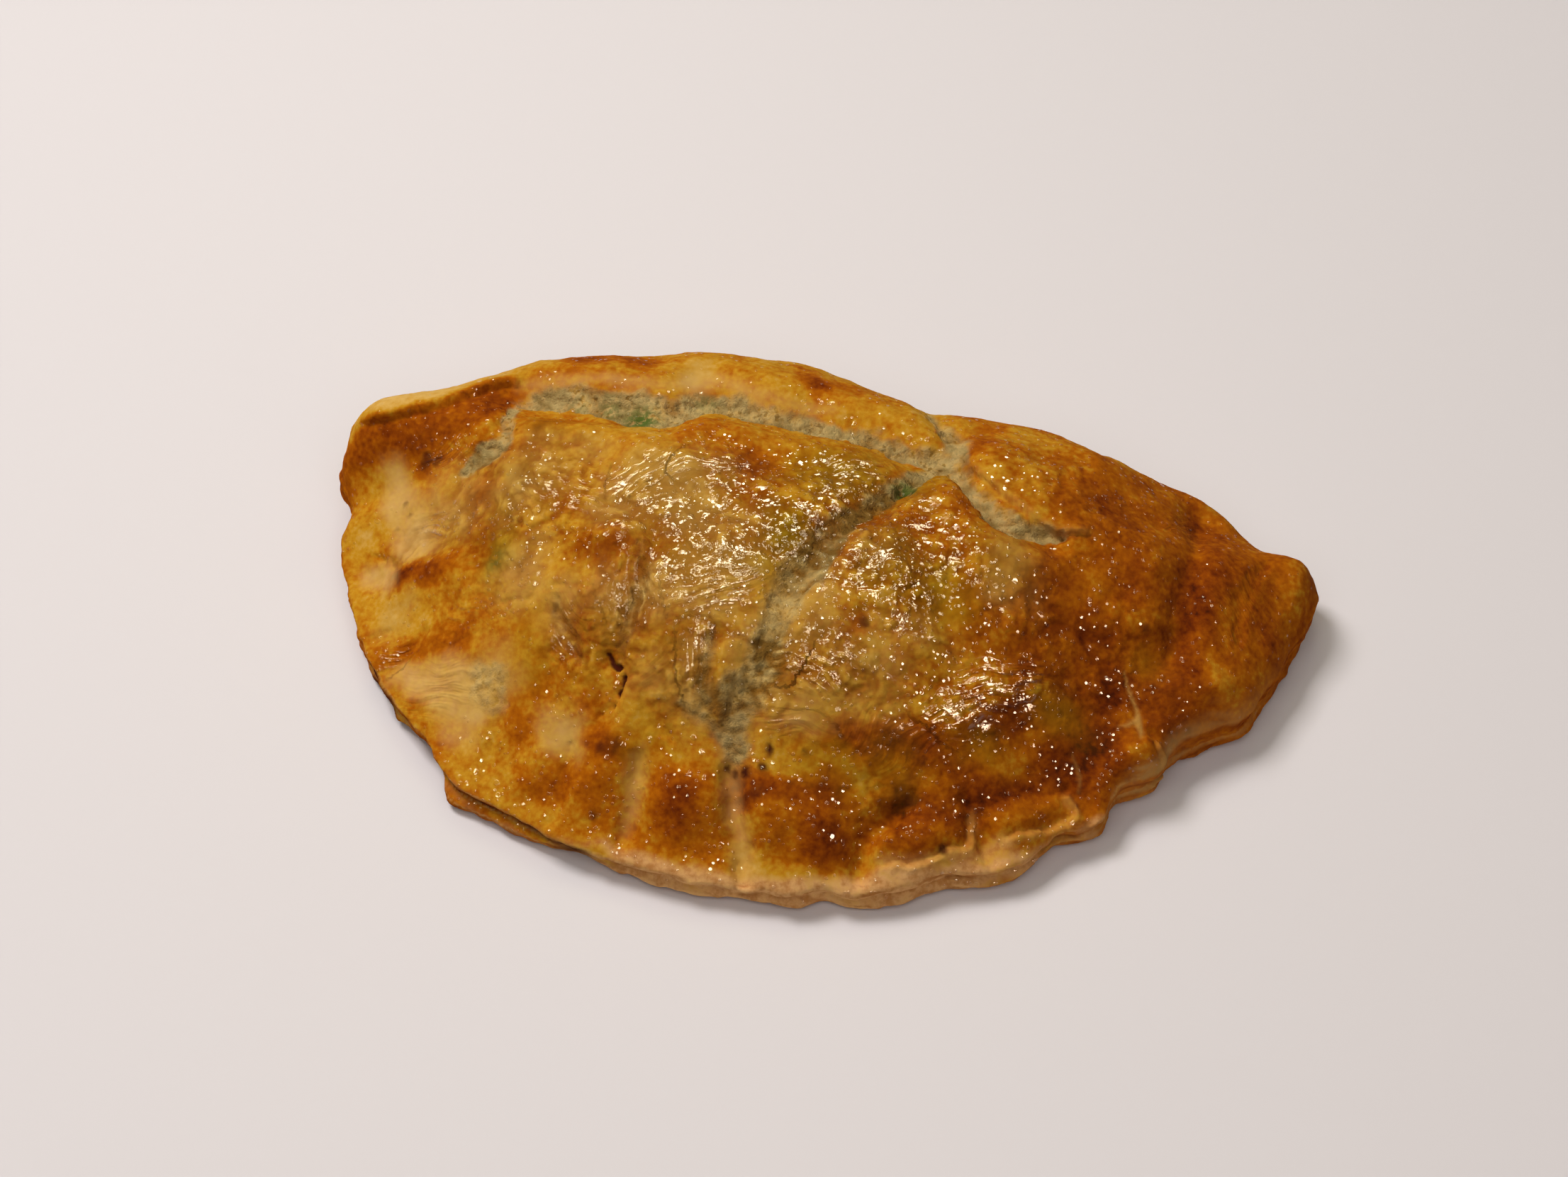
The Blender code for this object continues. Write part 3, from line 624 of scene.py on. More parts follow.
# Floury raw dough along the rim: how much, and its line as place and half width.
FLOURY = (
    (0.8, ((-30, -52.4, 0.4), (-23, -54.8, 1.2), (-10, -57.6, 2.4), (1.6, -57.8, 2.8),
           (14, -55.4, 2.2), (22.7, -52.8, 2.2), (31, -50.4, 1.8), (40, -46.6, 1.4), (47, -43, 1.0),
           (54.4, -37.6, 0.8), (61.6, -32, 0.8), (69, -25, 0.6), (75, -18, 0.5))),
    (0.5, ((20, -50.5, 1), (30, -48.6, 2.0), (37, -45.4, 2.0), (42, -43, 1.2))),
    (0.5, ((-76, -28.5, 0.1), (-66.3, -36.8, 0.2), (-56.3, -45, 0.4), (-47.8, -48.3, 0.4),
           (-39.2, -52, 0.6), (-30, -52.4, 0.6))),
)

# Patches of wrinkled skin that looks greyish tan, and how much.
TANNED = (
    (-28, 9, 12, 7, 1.0, 10), (-22, 1, 12, 6, 1.0), (-36, 3, 6, 5, 0.8), (-16, -8, 10, 8, 0.8),
    (-54, 9, 9, 8, 0.8), (-52, -8, 6, 6, 0.7), (-67, 6, 6, 5, 0.8, -20), (-77, -9.6, 3.4, 3.4, 0.8),
    (-32, -15, 7, 7, 0.8), (-17, -16, 9, 6, 0.7), (-4, -24, 7, 9, 0.9), (3, -12, 5, 8, 0.8),
    (4, -30, 8, 4, 0.6), (14, -28, 7, 4, 0.5), (-15, -32, 6, 4, 0.9), (-18, -25, 5, 5, 0.7),
    (-50, -12, 6, 4, 0.6), (-70, 10, 6, 7, 0.7, -20), (0, -18, 9, 7, 0.8), (-25, -14, 8, 7, 0.8),
    (14, -22, 8, 5, 0.6), (-22, -28, 7, 5, 0.7), (-55.6, -26.4, 5, 5.4, 1.0), (-76, 7, 3, 5, 0.7, -30),
    (-39, -35, 3, 3, 0.7), (-44, 16, 6, 4, 0.5), (-52, 18, 6, 4, 0.4), (-60, 43, 5, 3, 0.6, 20),
    (37, -3, 5, 5, 0.5), (-27, 40, 3, 4, 0.7), (37, 3, 5, 4, 0.5), (-8, -37, 3, 4, 0.6),
    (12, -2, 6, 6, 0.4), (20, -16, 8, 4, 0.4), (-42, -16, 5, 6, 0.6),
)

# Patches of skin over green filling, and how much.
GREENED = (
    (-4, 0, 6, 7, 1.0), (3, 16, 9, 8, 0.8), (-7, -8, 6, 4, 0.8), (15, -4, 6, 8, 0.7),
    (25, -8, 7, 7, 0.6), (-57, -4, 3.4, 6, 0.9), (-57, 9, 3, 6, 0.5), (35, 0, 6, 6, 0.4),
    (49, -20, 6, 4, 0.4), (20, -37, 5, 4, 0.3), (-24, -37, 6, 3.4, 0.35), (-48, -22, 5, 7, 0.4),
    (36, -30, 5, 3, 0.35), (64, -7, 4, 3, 0.2), (10, -38, 8, 3, 0.4), (20, 20, 5, 6, 0.5),
    (-52, 22, 4, 4, 0.4),
)

# Burnt spots: x, y, radius and strength.
BURNT = (
    (-1.9, -37.2, 0.9, 1.0), (-2.8, -39.7, 0.9, 1.0), (-5.6, -40.8, 0.9, 1.0), (-7.4, -41.2, 0.7, 0.8),
    (-8.6, -40.6, 0.6, 0.8), (12.8, -16.6, 1.2, 0.7), (-75.6, 19.4, 1.2, 0.7), (-73.4, 18.6, 0.9, 0.6),
    (30.5, -46.4, 0.9, 0.9), (23.4, -39.6, 0.9, 0.6), (4.5, -37.2, 0.6, 0.6), (-8.6, -34.6, 4.0, 0.25),
    (62.6, -2, 0.8, 0.6), (-32, -38.6, 0.9, 0.6), (-29.4, -37.6, 0.8, 0.6), (-32, -47.6, 0.8, 0.7),
    (-3, -43.8, 1.4, 0.5), (25.5, -34.5, 0.7, 0.6), (-33.5, 5, 0.5, 0.6), (-79, 13, 0.5, 0.5),
    (-77.6, 11, 0.4, 0.5), (-80.4, 9.4, 0.4, 0.4),
)

# Patches of green herb that shows in the tears, and how much.
HERBS = (
    (-35.6, 28, 3.2, 3.2, 1.0), (-42, 30, 2.4, 2.4, 0.5), (-48, 31, 2.2, 2.2, 0.3),
    (16, 17.4, 2.2, 2.2, 1.0), (-57.4, -5.4, 1.8, 1.8, 0.5), (-24, 34.4, 2.0, 2.0, 0.3),
)

# Patches of glaze, with gloss from 0, dull, to 1, wet.
GLAZED = (
    (5, 2, 38, 22, 0.95), (36, -22, 12, 5, 1.0, 33), (0, -44, 40, 9, 0.5), (48, 8, 16, 20, 0.38),
    (-56, 2, 12, 20, 0.55), (-48, -36, 14, 8, 0.5, 30), (-62, -25, 12, 7, 0.1), (-82, 6, 10, 14, 0.35),
    (-80, 28, 18, 6, 0.3, 10), (-30, 44, 40, 5, 0.3), (40, 42, 40, 5, 0.35, -20), (80, 10, 12, 24, 0.3),
    (-72, 19, 5, 3, 0.95), (-71, 6, 4, 2.4, 0.95, -20), (60, -24, 10, 6, 0.4, 30),
)

# Marks on the mesh that the finish reads. They run from 0 to about 1, apart from the mark of
# hollows, painted shade in creases and painted light on raised skin, which is below 0 where
# the skin stands up, and across and way, which are millimetres.
MARKS = (
    "browning", "pale", "raw", "tan", "torn", "crack", "green", "burnt", "herb", "gloss", "hollow",
    "folded", "crumple", "combed", "across", "way",
)

# The flat underside: its marks, apart from those that are 0, and the upward share of the
# normals where it begins and where it is whole.
BASE_MARKS = {"browning": 0.52}
BASE_STARTS = -0.6
BASE_WHOLE = -0.95


def paint_crust(relief):
    """Marks for the finish: browning, pale dough, tints, burns and the painted shade of the seam, herb
    and gloss.
    """
    points, marks, upward = relief.points, relief.marks, relief.upward
    x, y, z = points.T
    facing = relief.normals[:, 2]
    warp = sway(points, 6.0, (71.0, 73.0), 4)
    plan = relief.plan + 1.9 * warp
    edge = relief.plan + warp
    close = relief.plan + 0.6 * warp
    wall = 1 - ease(facing, 0.0, 0.6)
    front = 1 - ease(y, -30, 10)

    # Browned skin, the lighter wall of the front rim, and the brown wall of the back.
    browning = PLAIN_BROWNING + 0.15 * ease(x, 20, 60) + 0.10 * grain(points, 16.0, 79.0, 2)
    draw_towards(browning, patches(plan, BROWNED))
    draw_towards(browning, strokes(close, SINGED, -1.8, 1.0))
    browning += 0.07 * grain(points, 5.0, 83.0, 3)
    rim = 0.30 + 0.34 * ease(x, 10, 50) + 0.40 * (1 - ease(x, -50, -20))
    browning += wall * front * (rim - browning) * 0.9
    browning += wall * (1 - front) * (BACK_BROWNING - browning) * 0.7
    marks["browning"] = np.clip(browning, 0, 1)

    # Pale dough; a pale band along the brink of the front rim, chosen by how the surface tilts, that is
    # partly pale dough and partly a painted highlight; and raw dough on its wall.
    pale = strongest(strokes(edge, PALE, -1.6, 2.0, 0.8 * warp[:, 0]))
    marks["pale"] = np.maximum(pale, 0.6 * bell(facing, 0.36, 0.13) * front)
    raw = wall * front * (0.9 - 0.6 * ease(x, 20, 60) - 0.8 * (1 - ease(x, -55, -25)))
    marks["raw"] = np.maximum(raw, strongest(strokes(edge, FLOURY, -1.8, 1.6)))

    # Tints, herb, and what is dark: charred spots, leaks, and painted shade in the seam at the front
    # left.
    marks["tan"] = strongest(patches(plan, TANNED)) * upward
    marks["green"] = strongest(patches(plan, GREENED)) * upward
    marks["herb"] = strongest(patches(close, HERBS))
    # Painted shade in the gap between the two sheets, kept in the same mark as the charred spots.
    seam = bell(z, SEAM_SHADE_HEIGHT + 0.8 * warp[:, 0], SEAM_SHADE_WIDTH) * (1 - upward)
    seam *= (1 - ease(x, -44, -26)) * (1 - ease(y, -20, -8))
    burnt = np.maximum(strongest(spots(close, BURNT)), 0.9 * seam)
    marks["burnt"] = np.maximum(burnt, (1 - upward) * strongest(patches(close, LEAKS)))

    gloss = np.full(len(points), PLAIN_GLOSS)
    draw_towards(gloss, patches(plan, GLAZED))
    gloss *= (1 - 0.8 * marks["torn"]) * (1 - 0.6 * marks["pale"]) * upward
    marks["gloss"] = gloss

    # The flat underside is plain browned crust.
    under = 1 - ease(facing, BASE_WHOLE, BASE_STARTS)
    for name in MARKS:
        draw_towards(marks[name], [(BASE_MARKS.get(name, 0.0), under)])


class Reading:
    """A node's output socket that takes part in sums as a number would."""

    def __init__(self, finish, socket):
        self.finish = finish
        self.socket = socket

    def __add__(self, other):
        return self.finish.maths("ADD", self, other)

    __radd__ = __add__

    def __sub__(self, other):
        return self.finish.maths("SUBTRACT", self, other)

    def __rsub__(self, other):
        return self.finish.maths("SUBTRACT", other, self)

    def __mul__(self, other):
        return self.finish.maths("MULTIPLY", self, other)

    __rmul__ = __mul__


# Sockets of a Mix node for colours, whose names are used more than once.
SHARE, FIRST, SECOND, MIXED = 0, 6, 7, 2


class Finish:
    """A new material, and the nodes that are added to it."""

    def __init__(self, name):
        self.material = bpy.data.materials.new(name)
        self.material.use_nodes = True
        self.tree = self.material.node_tree
        self.shader = self.tree.nodes["Principled BSDF"]

    def node(self, kind, settings=None, values=None, output=0):
        """Add a node: its settings first, then the values or links of its sockets."""
        made = self.tree.nodes.new(kind)
        for name, setting in (settings or {}).items():
            if name == "stops":
                self.set_stops(made.color_ramp, setting)
            else:
                setattr(made, name, setting)
        for name, value in (values or {}).items():
            self.feed(made.inputs[name], value)
        return Reading(self, made.outputs[output])

    def set_stops(self, ramp, stops):
        """Give a ramp its colour stops, as place and colour."""
        while len(ramp.elements) < len(stops):
            ramp.elements.new(1.0)
        for element, (place, colour) in zip(ramp.elements, stops):
            element.position = place
            element.color = colour

    def feed(self, socket, value):
        """Link a reading to a socket, or set the socket's own value."""
        if isinstance(value, Reading):
            self.tree.links.new(value.socket, socket)
        else:
            socket.default_value = value

    def maths(self, operation, first, second):
        """One step of a sum."""
        return self.node("ShaderNodeMath", {"operation": operation}, {0: first, 1: second})

    def most(self, first, second):
        """The larger of two values."""
        return self.maths("MAXIMUM", first, second)

    def between(self, value, low, high):
        """0 below low, 1 above high, smooth in between."""
        settings = {"interpolation_type": "SMOOTHSTEP"}
        values = {"Value": value, "From Min": low, "From Max": high}
        return self.node("ShaderNodeMapRange", settings, values)

    def mix(self, share, first, second, way="MIX"):
        """The first colour, with that share of the second, kept between 0 and 1."""
        settings = {"data_type": "RGBA", "blend_type": way}
        values = {SHARE: share, FIRST: first, SECOND: second}
        return self.node("ShaderNodeMix", settings, values, MIXED)

    def mark(self, name):
        """A mark that is stored on the mesh."""
        return self.node("ShaderNodeAttribute", {"attribute_name": name}, None, "Fac")

    def noise(self, place, scale, detail, roughness):
        """Noise from 0 to 1, with that many lumps in each unit of the place."""
        values = {"Vector": place, "Scale": scale, "Detail": detail, "Roughness": roughness}
        return self.node("ShaderNodeTexNoise", None, values)

    def cells(self, place, scale):
        """Distance to the middle of the nearest cell, and a chance for each cell."""
        values = {"Vector": place, "Scale": scale}
        outputs = ("Distance", "Color")
        return [self.node("ShaderNodeTexVoronoi", None, values, output) for output in outputs]

    def lay_over(self, coat, share):
        """Show that share of another shader over the material's own."""
        own = Reading(self, self.shader.outputs["BSDF"])
        both = self.node("ShaderNodeMixShader", None, {0: share, 1: own, 2: coat})
        self.feed(self.tree.nodes["Material Output"].inputs["Surface"], both)

    def give(self, values):
        """Set or link the sockets of the material's own shader."""
        for name, value in values.items():
            self.feed(self.shader.inputs[name], value)


def shade(red, green, blue):
    """A colour given in 0 to 255 as a screen shows it, in linear light."""
    levels = [value / 255 for value in (red, green, blue)]
    linear = [v / 12.92 if v <= 0.04045 else ((v + 0.055) / 1.055) ** 2.4 for v in levels]
    return (*linear, 1.0)


def colour_property(name, about, default):
    return FloatVectorProperty(
        name=name, description=about, subtype="COLOR", size=4, min=0, max=1, default=default
    )


class CrustSettings(bpy.types.PropertyGroup):
    """Sizes and colours of the crust."""

    mesh_size: FloatProperty(
        name="Mesh size", description="Size of the crust's faces", default=0.5 * MM,
        unit="LENGTH", min=0.3 * MM, max=3 * MM, precision=5,
    )
    relief: FloatProperty(
        name="Relief", description="Strength of tears, wrinkles and blisters", default=1.0,
        min=0, max=2,
    )
    pale: colour_property("Pale dough", "Dough that hardly browned", shade(212, 174, 104))
    light: colour_property("Light crust", "Lightly browned crust", shade(204, 160, 80))
    golden: colour_property("Golden crust", "Golden crust", shade(190, 136, 30))
    orange: colour_property("Orange crust", "Well browned crust", shade(170, 92, 5))
    deep: colour_property("Deep crust", "Deeply browned crust", shade(140, 65, 4))
    brown: colour_property("Brown crust", "Brown crust", shade(108, 42, 4))
    dark: colour_property("Dark crust", "Darkest crust", shade(72, 26, 6))
    torn: colour_property("Torn dough", "Rough dough in the tears", shade(194, 168, 110))
    damp: colour_property("Damp dough", "Damp grey dough in the tears", shade(152, 130, 80))
    tan: colour_property("Wrinkled crust", "Greyish tan wrinkled skin", shade(186, 146, 72))
    olive: colour_property("Olive crust", "Skin over green filling", shade(150, 116, 14))
    # Colour of the painted shade in the hollows between wrinkles, multiplied over the crust.
    hollow: colour_property("Hollows", "Tint of the hollows between wrinkles", shade(190, 164, 120))
    raw: colour_property("Raw edge", "Floury dough at the rim's edge", shade(214, 164, 106))
    crumb: colour_property("Crumb", "Darker grains of that dough", shade(180, 122, 66))
    # Also the colour of the painted shade in cracks and in the seam between the sheets.
    burnt: colour_property("Burnt", "Burnt spots", shade(66, 25, 12))
    pore: colour_property("Pores", "Dark pores in the torn dough", shade(96, 78, 44))
    herb: colour_property("Herb", "Green herb", shade(82, 100, 40))


class StageSettings(bpy.types.PropertyGroup):
    """Camera, lights and floor."""

    azimuth: FloatProperty(
        name="Azimuth", description="Camera's turn about the pie", default=math.radians(8),
        subtype="ANGLE",
    )
    elevation: FloatProperty(
        name="Elevation", description="Camera's height as an angle", default=math.radians(52),
        subtype="ANGLE",
    )
    distance: FloatProperty(
        name="Distance", description="Camera's distance", default=0.64, unit="LENGTH",
    )
    floor: colour_property("Floor", "Plain pale floor", shade(206, 202, 208))


# Browning at which each colour of the crust is reached.
BROWNING_STOPS = (
    (0.0, "pale"), (0.22, "light"), (0.42, "golden"), (0.60, "orange"), (0.76, "deep"),
    (0.90, "brown"), (1.0, "dark"),
)


def crust_colour(finish, settings, marks, coarse, speck, fine):
    """Browned crust, with pale, tan, olive, torn and charred places mixed in, and painted shade in
    hollows, cracks and the seam.
    """
    blotches = coarse - 0.5
    specks = speck - 0.5
    browning = marks["browning"] + blotches * 0.34 + specks * 0.42
    # Painted shade: browning darker in hollows and lighter on raised skin.
    browning = browning + (fine - 0.5) * 0.16 + marks["hollow"] * 0.08
    stops = [(place, getattr(settings, name)) for place, name in BROWNING_STOPS]
    colour = finish.node("ShaderNodeValToRGB", {"stops": stops}, {"Fac": browning})
    mottled = finish.between(coarse, 0.3, 0.6)
    colour = finish.mix(marks["green"] * (0.58 + 0.4 * mottled), colour, settings.olive)
    colour = finish.mix(marks["tan"] * (0.4 + 0.5 * mottled), colour, settings.tan)
    colour = finish.mix(marks["pale"] * (0.7 + blotches + specks * 0.6), colour, settings.pale)

    # Torn dough, partly damp, with dark pores; more of the damp grey lies in its hollows as painted
    # shade.
    damp = finish.between(0.6 * coarse + 0.5 * speck + marks["hollow"] * 0.12, 0.42, 0.72)
    floor = finish.mix(damp, settings.torn, settings.damp)
    pores = finish.between(fine * 0.5 + speck * 0.7, 0.56, 0.44) * finish.between(coarse, 0.62, 0.46)
    floor = finish.mix(pores * 0.85, floor, settings.pore)
    torn = marks["torn"] * (1 + blotches * 1.6 + specks * 1.2)
    colour = finish.mix(finish.between(torn, 0.05, 0.95), colour, floor)

    # Floury raw dough with darker crumbs, which lie thicker in its hollows as painted shade.
    grains = finish.between(0.5 * speck + 0.5 * coarse + marks["hollow"] * 0.12, 0.40, 0.62)
    dough = finish.mix(grains, settings.raw, settings.crumb)
    raw = marks["raw"] * (1 + blotches * 1.6 + specks)
    colour = finish.mix(finish.between(raw, 0.1, 0.9), colour, dough)

    # Herb, light folded edges that are partly a painted highlight, painted shade in the hollows and
    # cracks, and burns with the painted shade of the seam.
    herb = marks["herb"] * finish.between(speck, 0.34, 0.54)
    colour = finish.mix(herb, colour, settings.herb)
    colour = finish.mix(marks["folded"] * 0.8, colour, settings.light)
    shadow = marks["hollow"] * (0.40 + 0.4 * marks["crumple"] + 0.5 * marks["torn"])
    colour = finish.mix(shadow, colour, settings.hollow, "MULTIPLY")
    colour = finish.mix(finish.between(marks["crack"], 0.25, 0.95), colour, settings.burnt)
    return finish.mix(marks["burnt"], colour, settings.burnt)


# Noise of the finish: lumps in each metre, detail and roughness.
COARSE = (160.0, 4.0, 0.6)
SPECK = (700.0, 3.0, 0.65)
RIPPLE = (600.0, 1.0, 0.5)
FINE = (1100.0, 0.0, 0.5)

# Noise of the combed lines, with lumps in each millimetre, and its stretch along them.
COMBED = (1.15, 1.0, 0.6)
COMBED_STRETCH = 0.16

# Beads of glaze, large and small: cells in each metre, where a bead starts and where it is
# whole as distances in its cell, and the chances from which a cell has none and has one.
BEADS = ((520.0, (0.34, 0.20), (1.10, 1.15)), (1150.0, (0.42, 0.28), (0.98, 1.04)))

# Dull crust, and the wet glaze that is laid over it.
DULL = {"Roughness": 0.95, "Specular IOR Level": 0.02}
WET = {"Roughness": 0.11, "Specular IOR Level": 0.7}
BUMP_DISTANCE = 0.5 * MM


def crust_finish(settings):
    """Glazed baked crust, from pale dough to dark brown, with torn dough in its tears."""
    finish = Finish("baked_crust")
    place = finish.node("ShaderNodeTexCoord", None, None, "Object")
    marks = {name: finish.mark(name) for name in MARKS}
    coarse, speck, ripple, fine = (
        finish.noise(place, *measures) for measures in (COARSE, SPECK, RIPPLE, FINE)
    )

    # Beads of glaze, which lie closer where the crust is glossier, and glazed wrinkles.
    gloss = marks["gloss"] + (coarse - 0.5) * 0.8
    kinds = []
    for scale, edge, chances in BEADS:
        cells, chance = finish.cells(place, scale)
        bead = finish.between(cells + (fine - 0.5) * 0.3, *edge)
        kinds.append(bead * finish.between(chance + gloss * 0.7, *chances))
    beads = finish.most(*kinds)
    streaks = finish.between(ripple, 0.53, 0.59) * finish.between(marks["crumple"] * gloss, 0.3, 0.6)
    spread = {"X": marks["across"], "Y": marks["way"] * COMBED_STRETCH}
    combed = finish.noise(finish.node("ShaderNodeCombineXYZ", None, spread), *COMBED)
    lines = finish.between(combed, 0.50, 0.58) * finish.between(marks["combed"] * gloss, 0.15, 0.45)
    wet = finish.most(beads, finish.most(streaks, lines) * 0.9) * finish.between(gloss, 0.05, 0.5)

    height = (ripple * 0.40 + fine * 0.30) * (0.4 + 0.8 * marks["crumple"])
    height = height + beads * 0.12 + marks["torn"] * speck * 2.0 + marks["combed"] * combed * 1.1
    bump = {"Strength": 1.0, "Distance": BUMP_DISTANCE, "Height": height}
    normal = finish.node("ShaderNodeBump", None, bump)
    colour = crust_colour(finish, settings, marks, coarse, speck, fine)
    shared = {"Base Color": colour, "Normal": normal}
    finish.give({**shared, **DULL})
    finish.lay_over(finish.node("ShaderNodeBsdfPrincipled", None, {**shared, **WET}), wet)
    return finish.material


def floor_finish(settings):
    """Plain pale floor."""
    finish = Finish("pale_floor")
    finish.give({"Base Color": settings.floor, "Roughness": 0.7})
    return finish.material


def coordinates(mesh):
    """The places of a mesh's points as rows of an array."""
    values = np.empty(len(mesh.vertices) * 3, np.float32)
    mesh.vertices.foreach_get("co", values)
    return values.reshape(-1, 3).astype(float)


def apply_modifier(piece, kind, **settings):
    """Add a modifier with these settings and apply it."""
    modifier = piece.modifiers.new(kind.lower(), kind)
    for name, value in settings.items():
        setattr(modifier, name, value)
    bpy.ops.object.modifier_apply(modifier=modifier.name)


def make_active(piece):
    bpy.ops.object.select_all(action="DESELECT")
    bpy.context.view_layer.objects.active = piece
    piece.select_set(True)


class MESH_OT_pie_crust(bpy.types.Operator):
    """Model the crust: a rounded copy of the solid with tears, wrinkles and blisters"""

    bl_idname = "mesh.pie_crust"
    bl_label = "Crust"

    def execute(self, context):
        settings = context.scene.pie_crust
        piece = bpy.data.objects.new("baked_crust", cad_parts["pastry"].data.copy())
        context.scene.collection.objects.link(piece)
        piece.data.materials.clear()
        make_active(piece)
        self.round_off(piece, settings)
        self.add_relief(piece, settings)
        self.thin_out(piece)
        piece.data.materials.append(crust_finish(settings))
        piece.data.shade_smooth()
        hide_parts("pastry")
        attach(piece, "root")
        return {"FINISHED"}

    def round_off(self, piece, settings):
        """Weld the copy, round its facets and give it even faces."""
        bpy.ops.object.mode_set(mode="EDIT")
        bpy.ops.mesh.select_all(action="SELECT")
        bpy.ops.mesh.remove_doubles(threshold=WELD)
        bpy.ops.mesh.tris_convert_to_quads()
        bpy.ops.object.mode_set(mode="OBJECT")
        apply_modifier(piece, "SUBSURF", levels=ROUNDING, render_levels=ROUNDING)
        apply_modifier(piece, "REMESH", mode="VOXEL", voxel_size=settings.mesh_size)

    def add_relief(self, piece, settings):
        """Move the points out and in, and store the marks that the finish reads."""
        mesh = piece.data
        places = coordinates(mesh) / MM
        normals = np.array([normal.vector for normal in mesh.vertex_normals])
        relief = shape_crust(places, normals)
        paint_crust(relief)
        free = ease(places[:, 2], 0.0, FLAT_FOOT)
        places += normals * (relief.height * free * settings.relief)[:, None]
        mesh.vertices.foreach_set("co", (places * MM).ravel())
        for name in MARKS:
            layer = mesh.attributes.new(name, "FLOAT", "POINT")
            layer.data.foreach_set("value", relief.marks[name].astype(np.float32))
        mesh.update()

    def thin_out(self, piece):
        """Join small faces where the crust is even."""
        triangles = len(piece.data.loops) - 2 * len(piece.data.polygons)
        apply_modifier(piece, "DECIMATE", ratio=min(1.0, TRIANGLES / triangles))


# Where the camera looks, and its lens. The image is 2212 x 1660 pixels.
LOOK_AT = (-4.8, 2.75, 16.1)
IMAGE_WIDTH = 2212
FOCAL_PIXELS = 4832
SENSOR_WIDTH = 36.0

# Lights: azimuth and elevation in degrees as seen from the pie, distance and size in
# metres, power in watts, colour, and what they light: the matt colours or the glaze.
LIGHTS = {
    "soft_key": (150, 58, 1.2, (0.4, 0.4), 12.5, (1.0, 0.96, 0.90), "matt"),
    "front_fill": (-85, 60, 1.4, (1.4, 1.0), 6.6, (1.0, 0.97, 0.93), "matt"),
    "back_glint": (98, 52, 1.1, (0.44, 0.36), 13.0, (1.0, 0.88, 0.62), "glaze"),
    "left_glint": (128, 46, 1.1, (0.30, 0.30), 5.0, (1.0, 0.86, 0.56), "glaze"),
    "right_glint": (60, 48, 1.1, (0.30, 0.30), 5.0, (1.0, 0.86, 0.56), "glaze"),
    "top_glint": (120, 80, 1.1, (0.30, 0.30), 2.6, (1.0, 0.88, 0.62), "glaze"),
    "east_glint": (15, 66, 1.1, (0.30, 0.30), 3.0, (1.0, 0.88, 0.62), "glaze"),
    "west_glint": (176, 58, 1.1, (0.30, 0.30), 5.0, (1.0, 0.86, 0.56), "glaze"),
    "shoulder_glint": (-34, 42, 1.1, (0.36, 0.60), 21.0, (1.0, 0.74, 0.52), "glaze"),
    "front_glint": (-103, 66, 1.1, (0.30, 0.30), 7.0, (1.0, 0.88, 0.62), "glaze"),
    "rim_glint": (-130, 48, 1.1, (0.30, 0.30), 6.0, (1.0, 0.82, 0.56), "glaze"),
}

# Light from all round, and the floor: its radius and how far it lies below the pie, both in
# metres.
WORLD_COLOUR = (0.93, 0.90, 0.89, 1.0)
WORLD_STRENGTH = 0.06
FLOOR_RADIUS = 6.0
FLOOR_GAP = 0.0002


def direction(azimuth, elevation):
    """Unit vector to an azimuth from +X and an elevation, in radians."""
    flat = math.cos(elevation)
    return Vector((flat * math.cos(azimuth), flat * math.sin(azimuth), math.sin(elevation)))


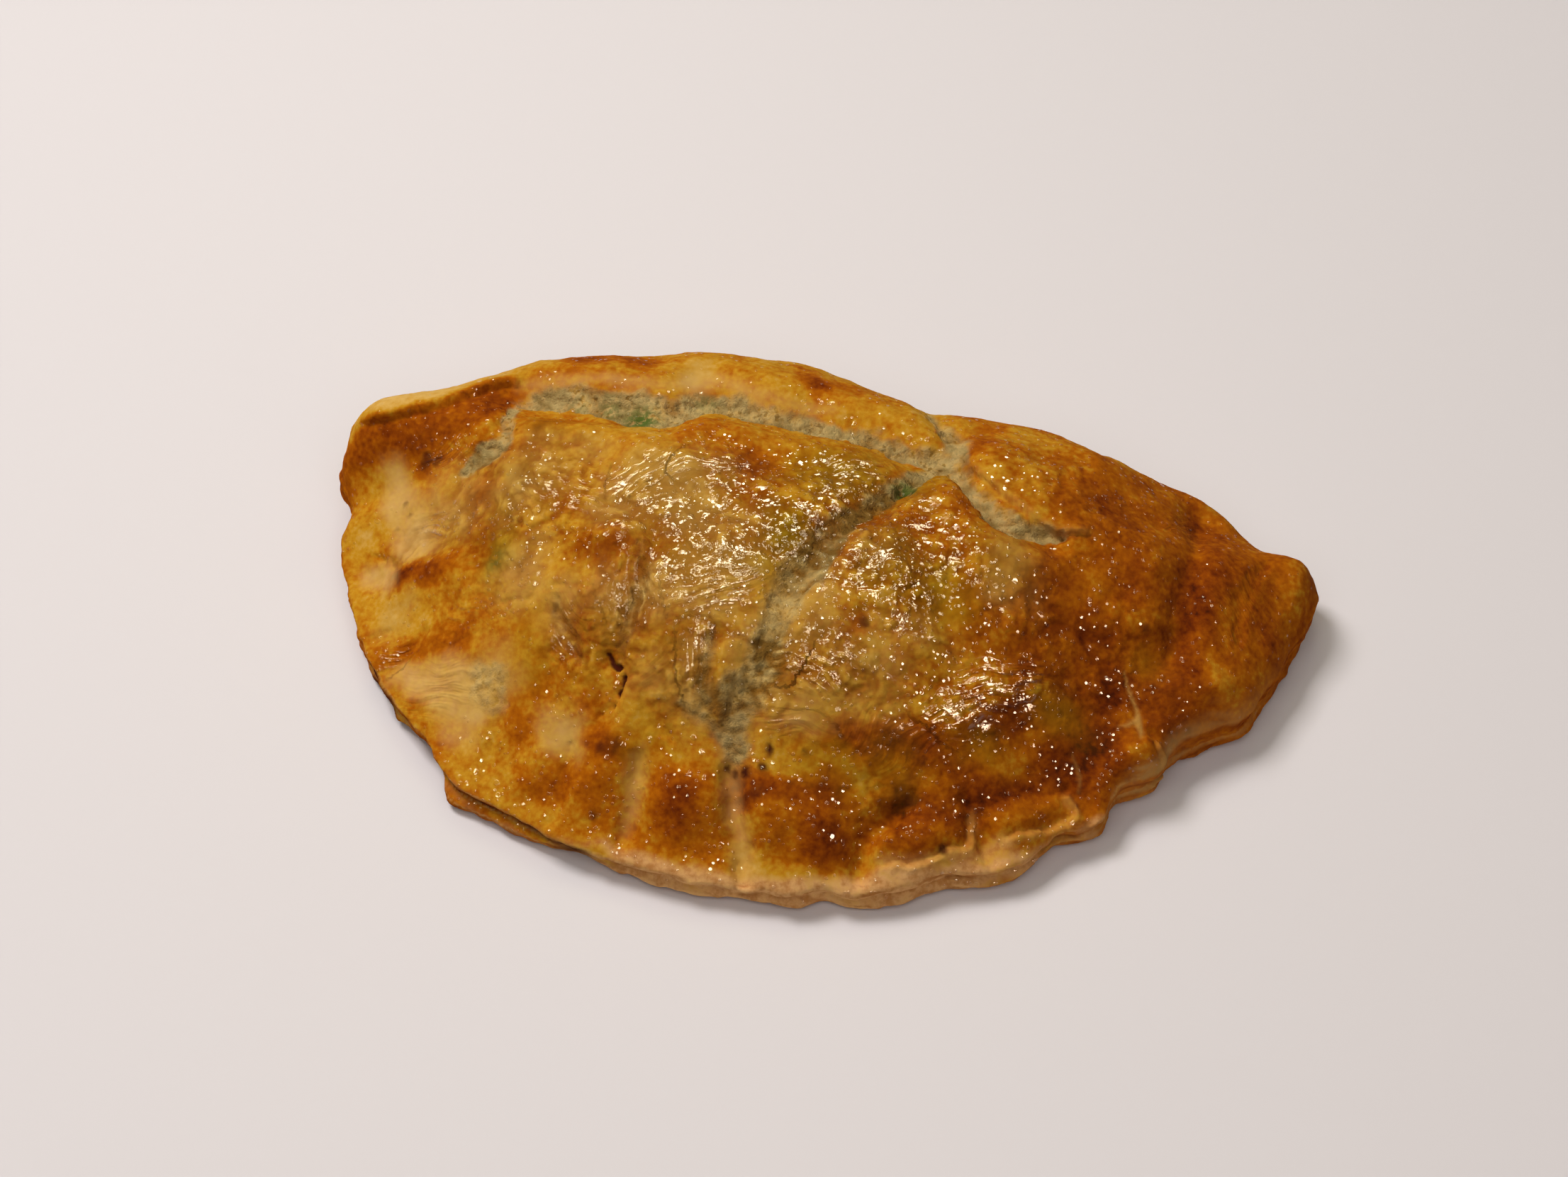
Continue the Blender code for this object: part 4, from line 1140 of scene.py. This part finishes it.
class SCENE_OT_pie_stage(bpy.types.Operator):
    """Set up the floor, the soft lights and the camera"""

    bl_idname = "scene.pie_stage"
    bl_label = "Stage"

    def execute(self, context):
        settings = context.scene.pie_stage
        self.add_floor(settings)
        self.add_lights()
        self.add_camera(context, settings)
        self.set_world(context)
        return {"FINISHED"}

    def add_floor(self, settings):
        bpy.ops.mesh.primitive_circle_add(
            vertices=96, radius=FLOOR_RADIUS, fill_type="NGON", location=(0, 0, -FLOOR_GAP)
        )
        floor = bpy.context.object
        floor.name = "floor"
        floor.data.materials.append(floor_finish(settings))

    def add_lights(self):
        for name, (azimuth, elevation, distance, size, power, colour, rays) in LIGHTS.items():
            way = direction(math.radians(azimuth), math.radians(elevation))
            bpy.ops.object.light_add(type="AREA", location=way * distance)
            light = bpy.context.object
            light.name = name
            light.rotation_euler = way.to_track_quat("Z", "Y").to_euler()
            light.data.shape = "RECTANGLE"
            light.data.size, light.data.size_y = size
            light.data.energy = power
            light.data.color = colour
            light.visible_glossy = rays != "matt"
            light.visible_diffuse = rays != "glaze"

    def add_camera(self, context, settings):
        way = direction(settings.azimuth - math.pi / 2, settings.elevation)
        target = Vector(LOOK_AT) * MM
        bpy.ops.object.camera_add(location=target + way * settings.distance)
        camera = bpy.context.object
        camera.name = "camera"
        camera.rotation_euler = way.to_track_quat("Z", "Y").to_euler()
        camera.data.sensor_width = SENSOR_WIDTH
        camera.data.lens = SENSOR_WIDTH * FOCAL_PIXELS / IMAGE_WIDTH
        camera.data.clip_start = 0.01
        context.scene.camera = camera

    def set_world(self, context):
        world = bpy.data.worlds.new("soft_light")
        world.use_nodes = True
        background = world.node_tree.nodes["Background"]
        background.inputs["Color"].default_value = WORLD_COLOUR
        background.inputs["Strength"].default_value = WORLD_STRENGTH
        context.scene.world = world
        context.scene.view_settings.view_transform = "Standard"


class VIEW3D_PT_pie(bpy.types.Panel):
    """Sidebar panel that lists the pie's operators and settings"""

    bl_idname = "VIEW3D_PT_pie"
    bl_label = "Meat pie"
    bl_space_type = "VIEW_3D"
    bl_region_type = "UI"
    bl_category = "Meat pie"

    def draw(self, context):
        for settings, operator in (
            (context.scene.pie_crust, MESH_OT_pie_crust),
            (context.scene.pie_stage, SCENE_OT_pie_stage),
        ):
            column = self.layout.column(align=True)
            column.operator(operator.bl_idname)
            for name in settings.bl_rna.properties.keys():
                if name not in ("rna_type", "name"):
                    column.prop(settings, name)


CLASSES = (CrustSettings, StageSettings, MESH_OT_pie_crust, SCENE_OT_pie_stage, VIEW3D_PT_pie)


def register():
    for made in CLASSES:
        bpy.utils.register_class(made)
    bpy.types.Scene.pie_crust = PointerProperty(type=CrustSettings)
    bpy.types.Scene.pie_stage = PointerProperty(type=StageSettings)


def unregister():
    del bpy.types.Scene.pie_stage
    del bpy.types.Scene.pie_crust
    for made in reversed(CLASSES):
        bpy.utils.unregister_class(made)


def main():
    register()
    bpy.ops.mesh.pie_crust()
    bpy.ops.scene.pie_stage()


if __name__ == "__main__":
    main()
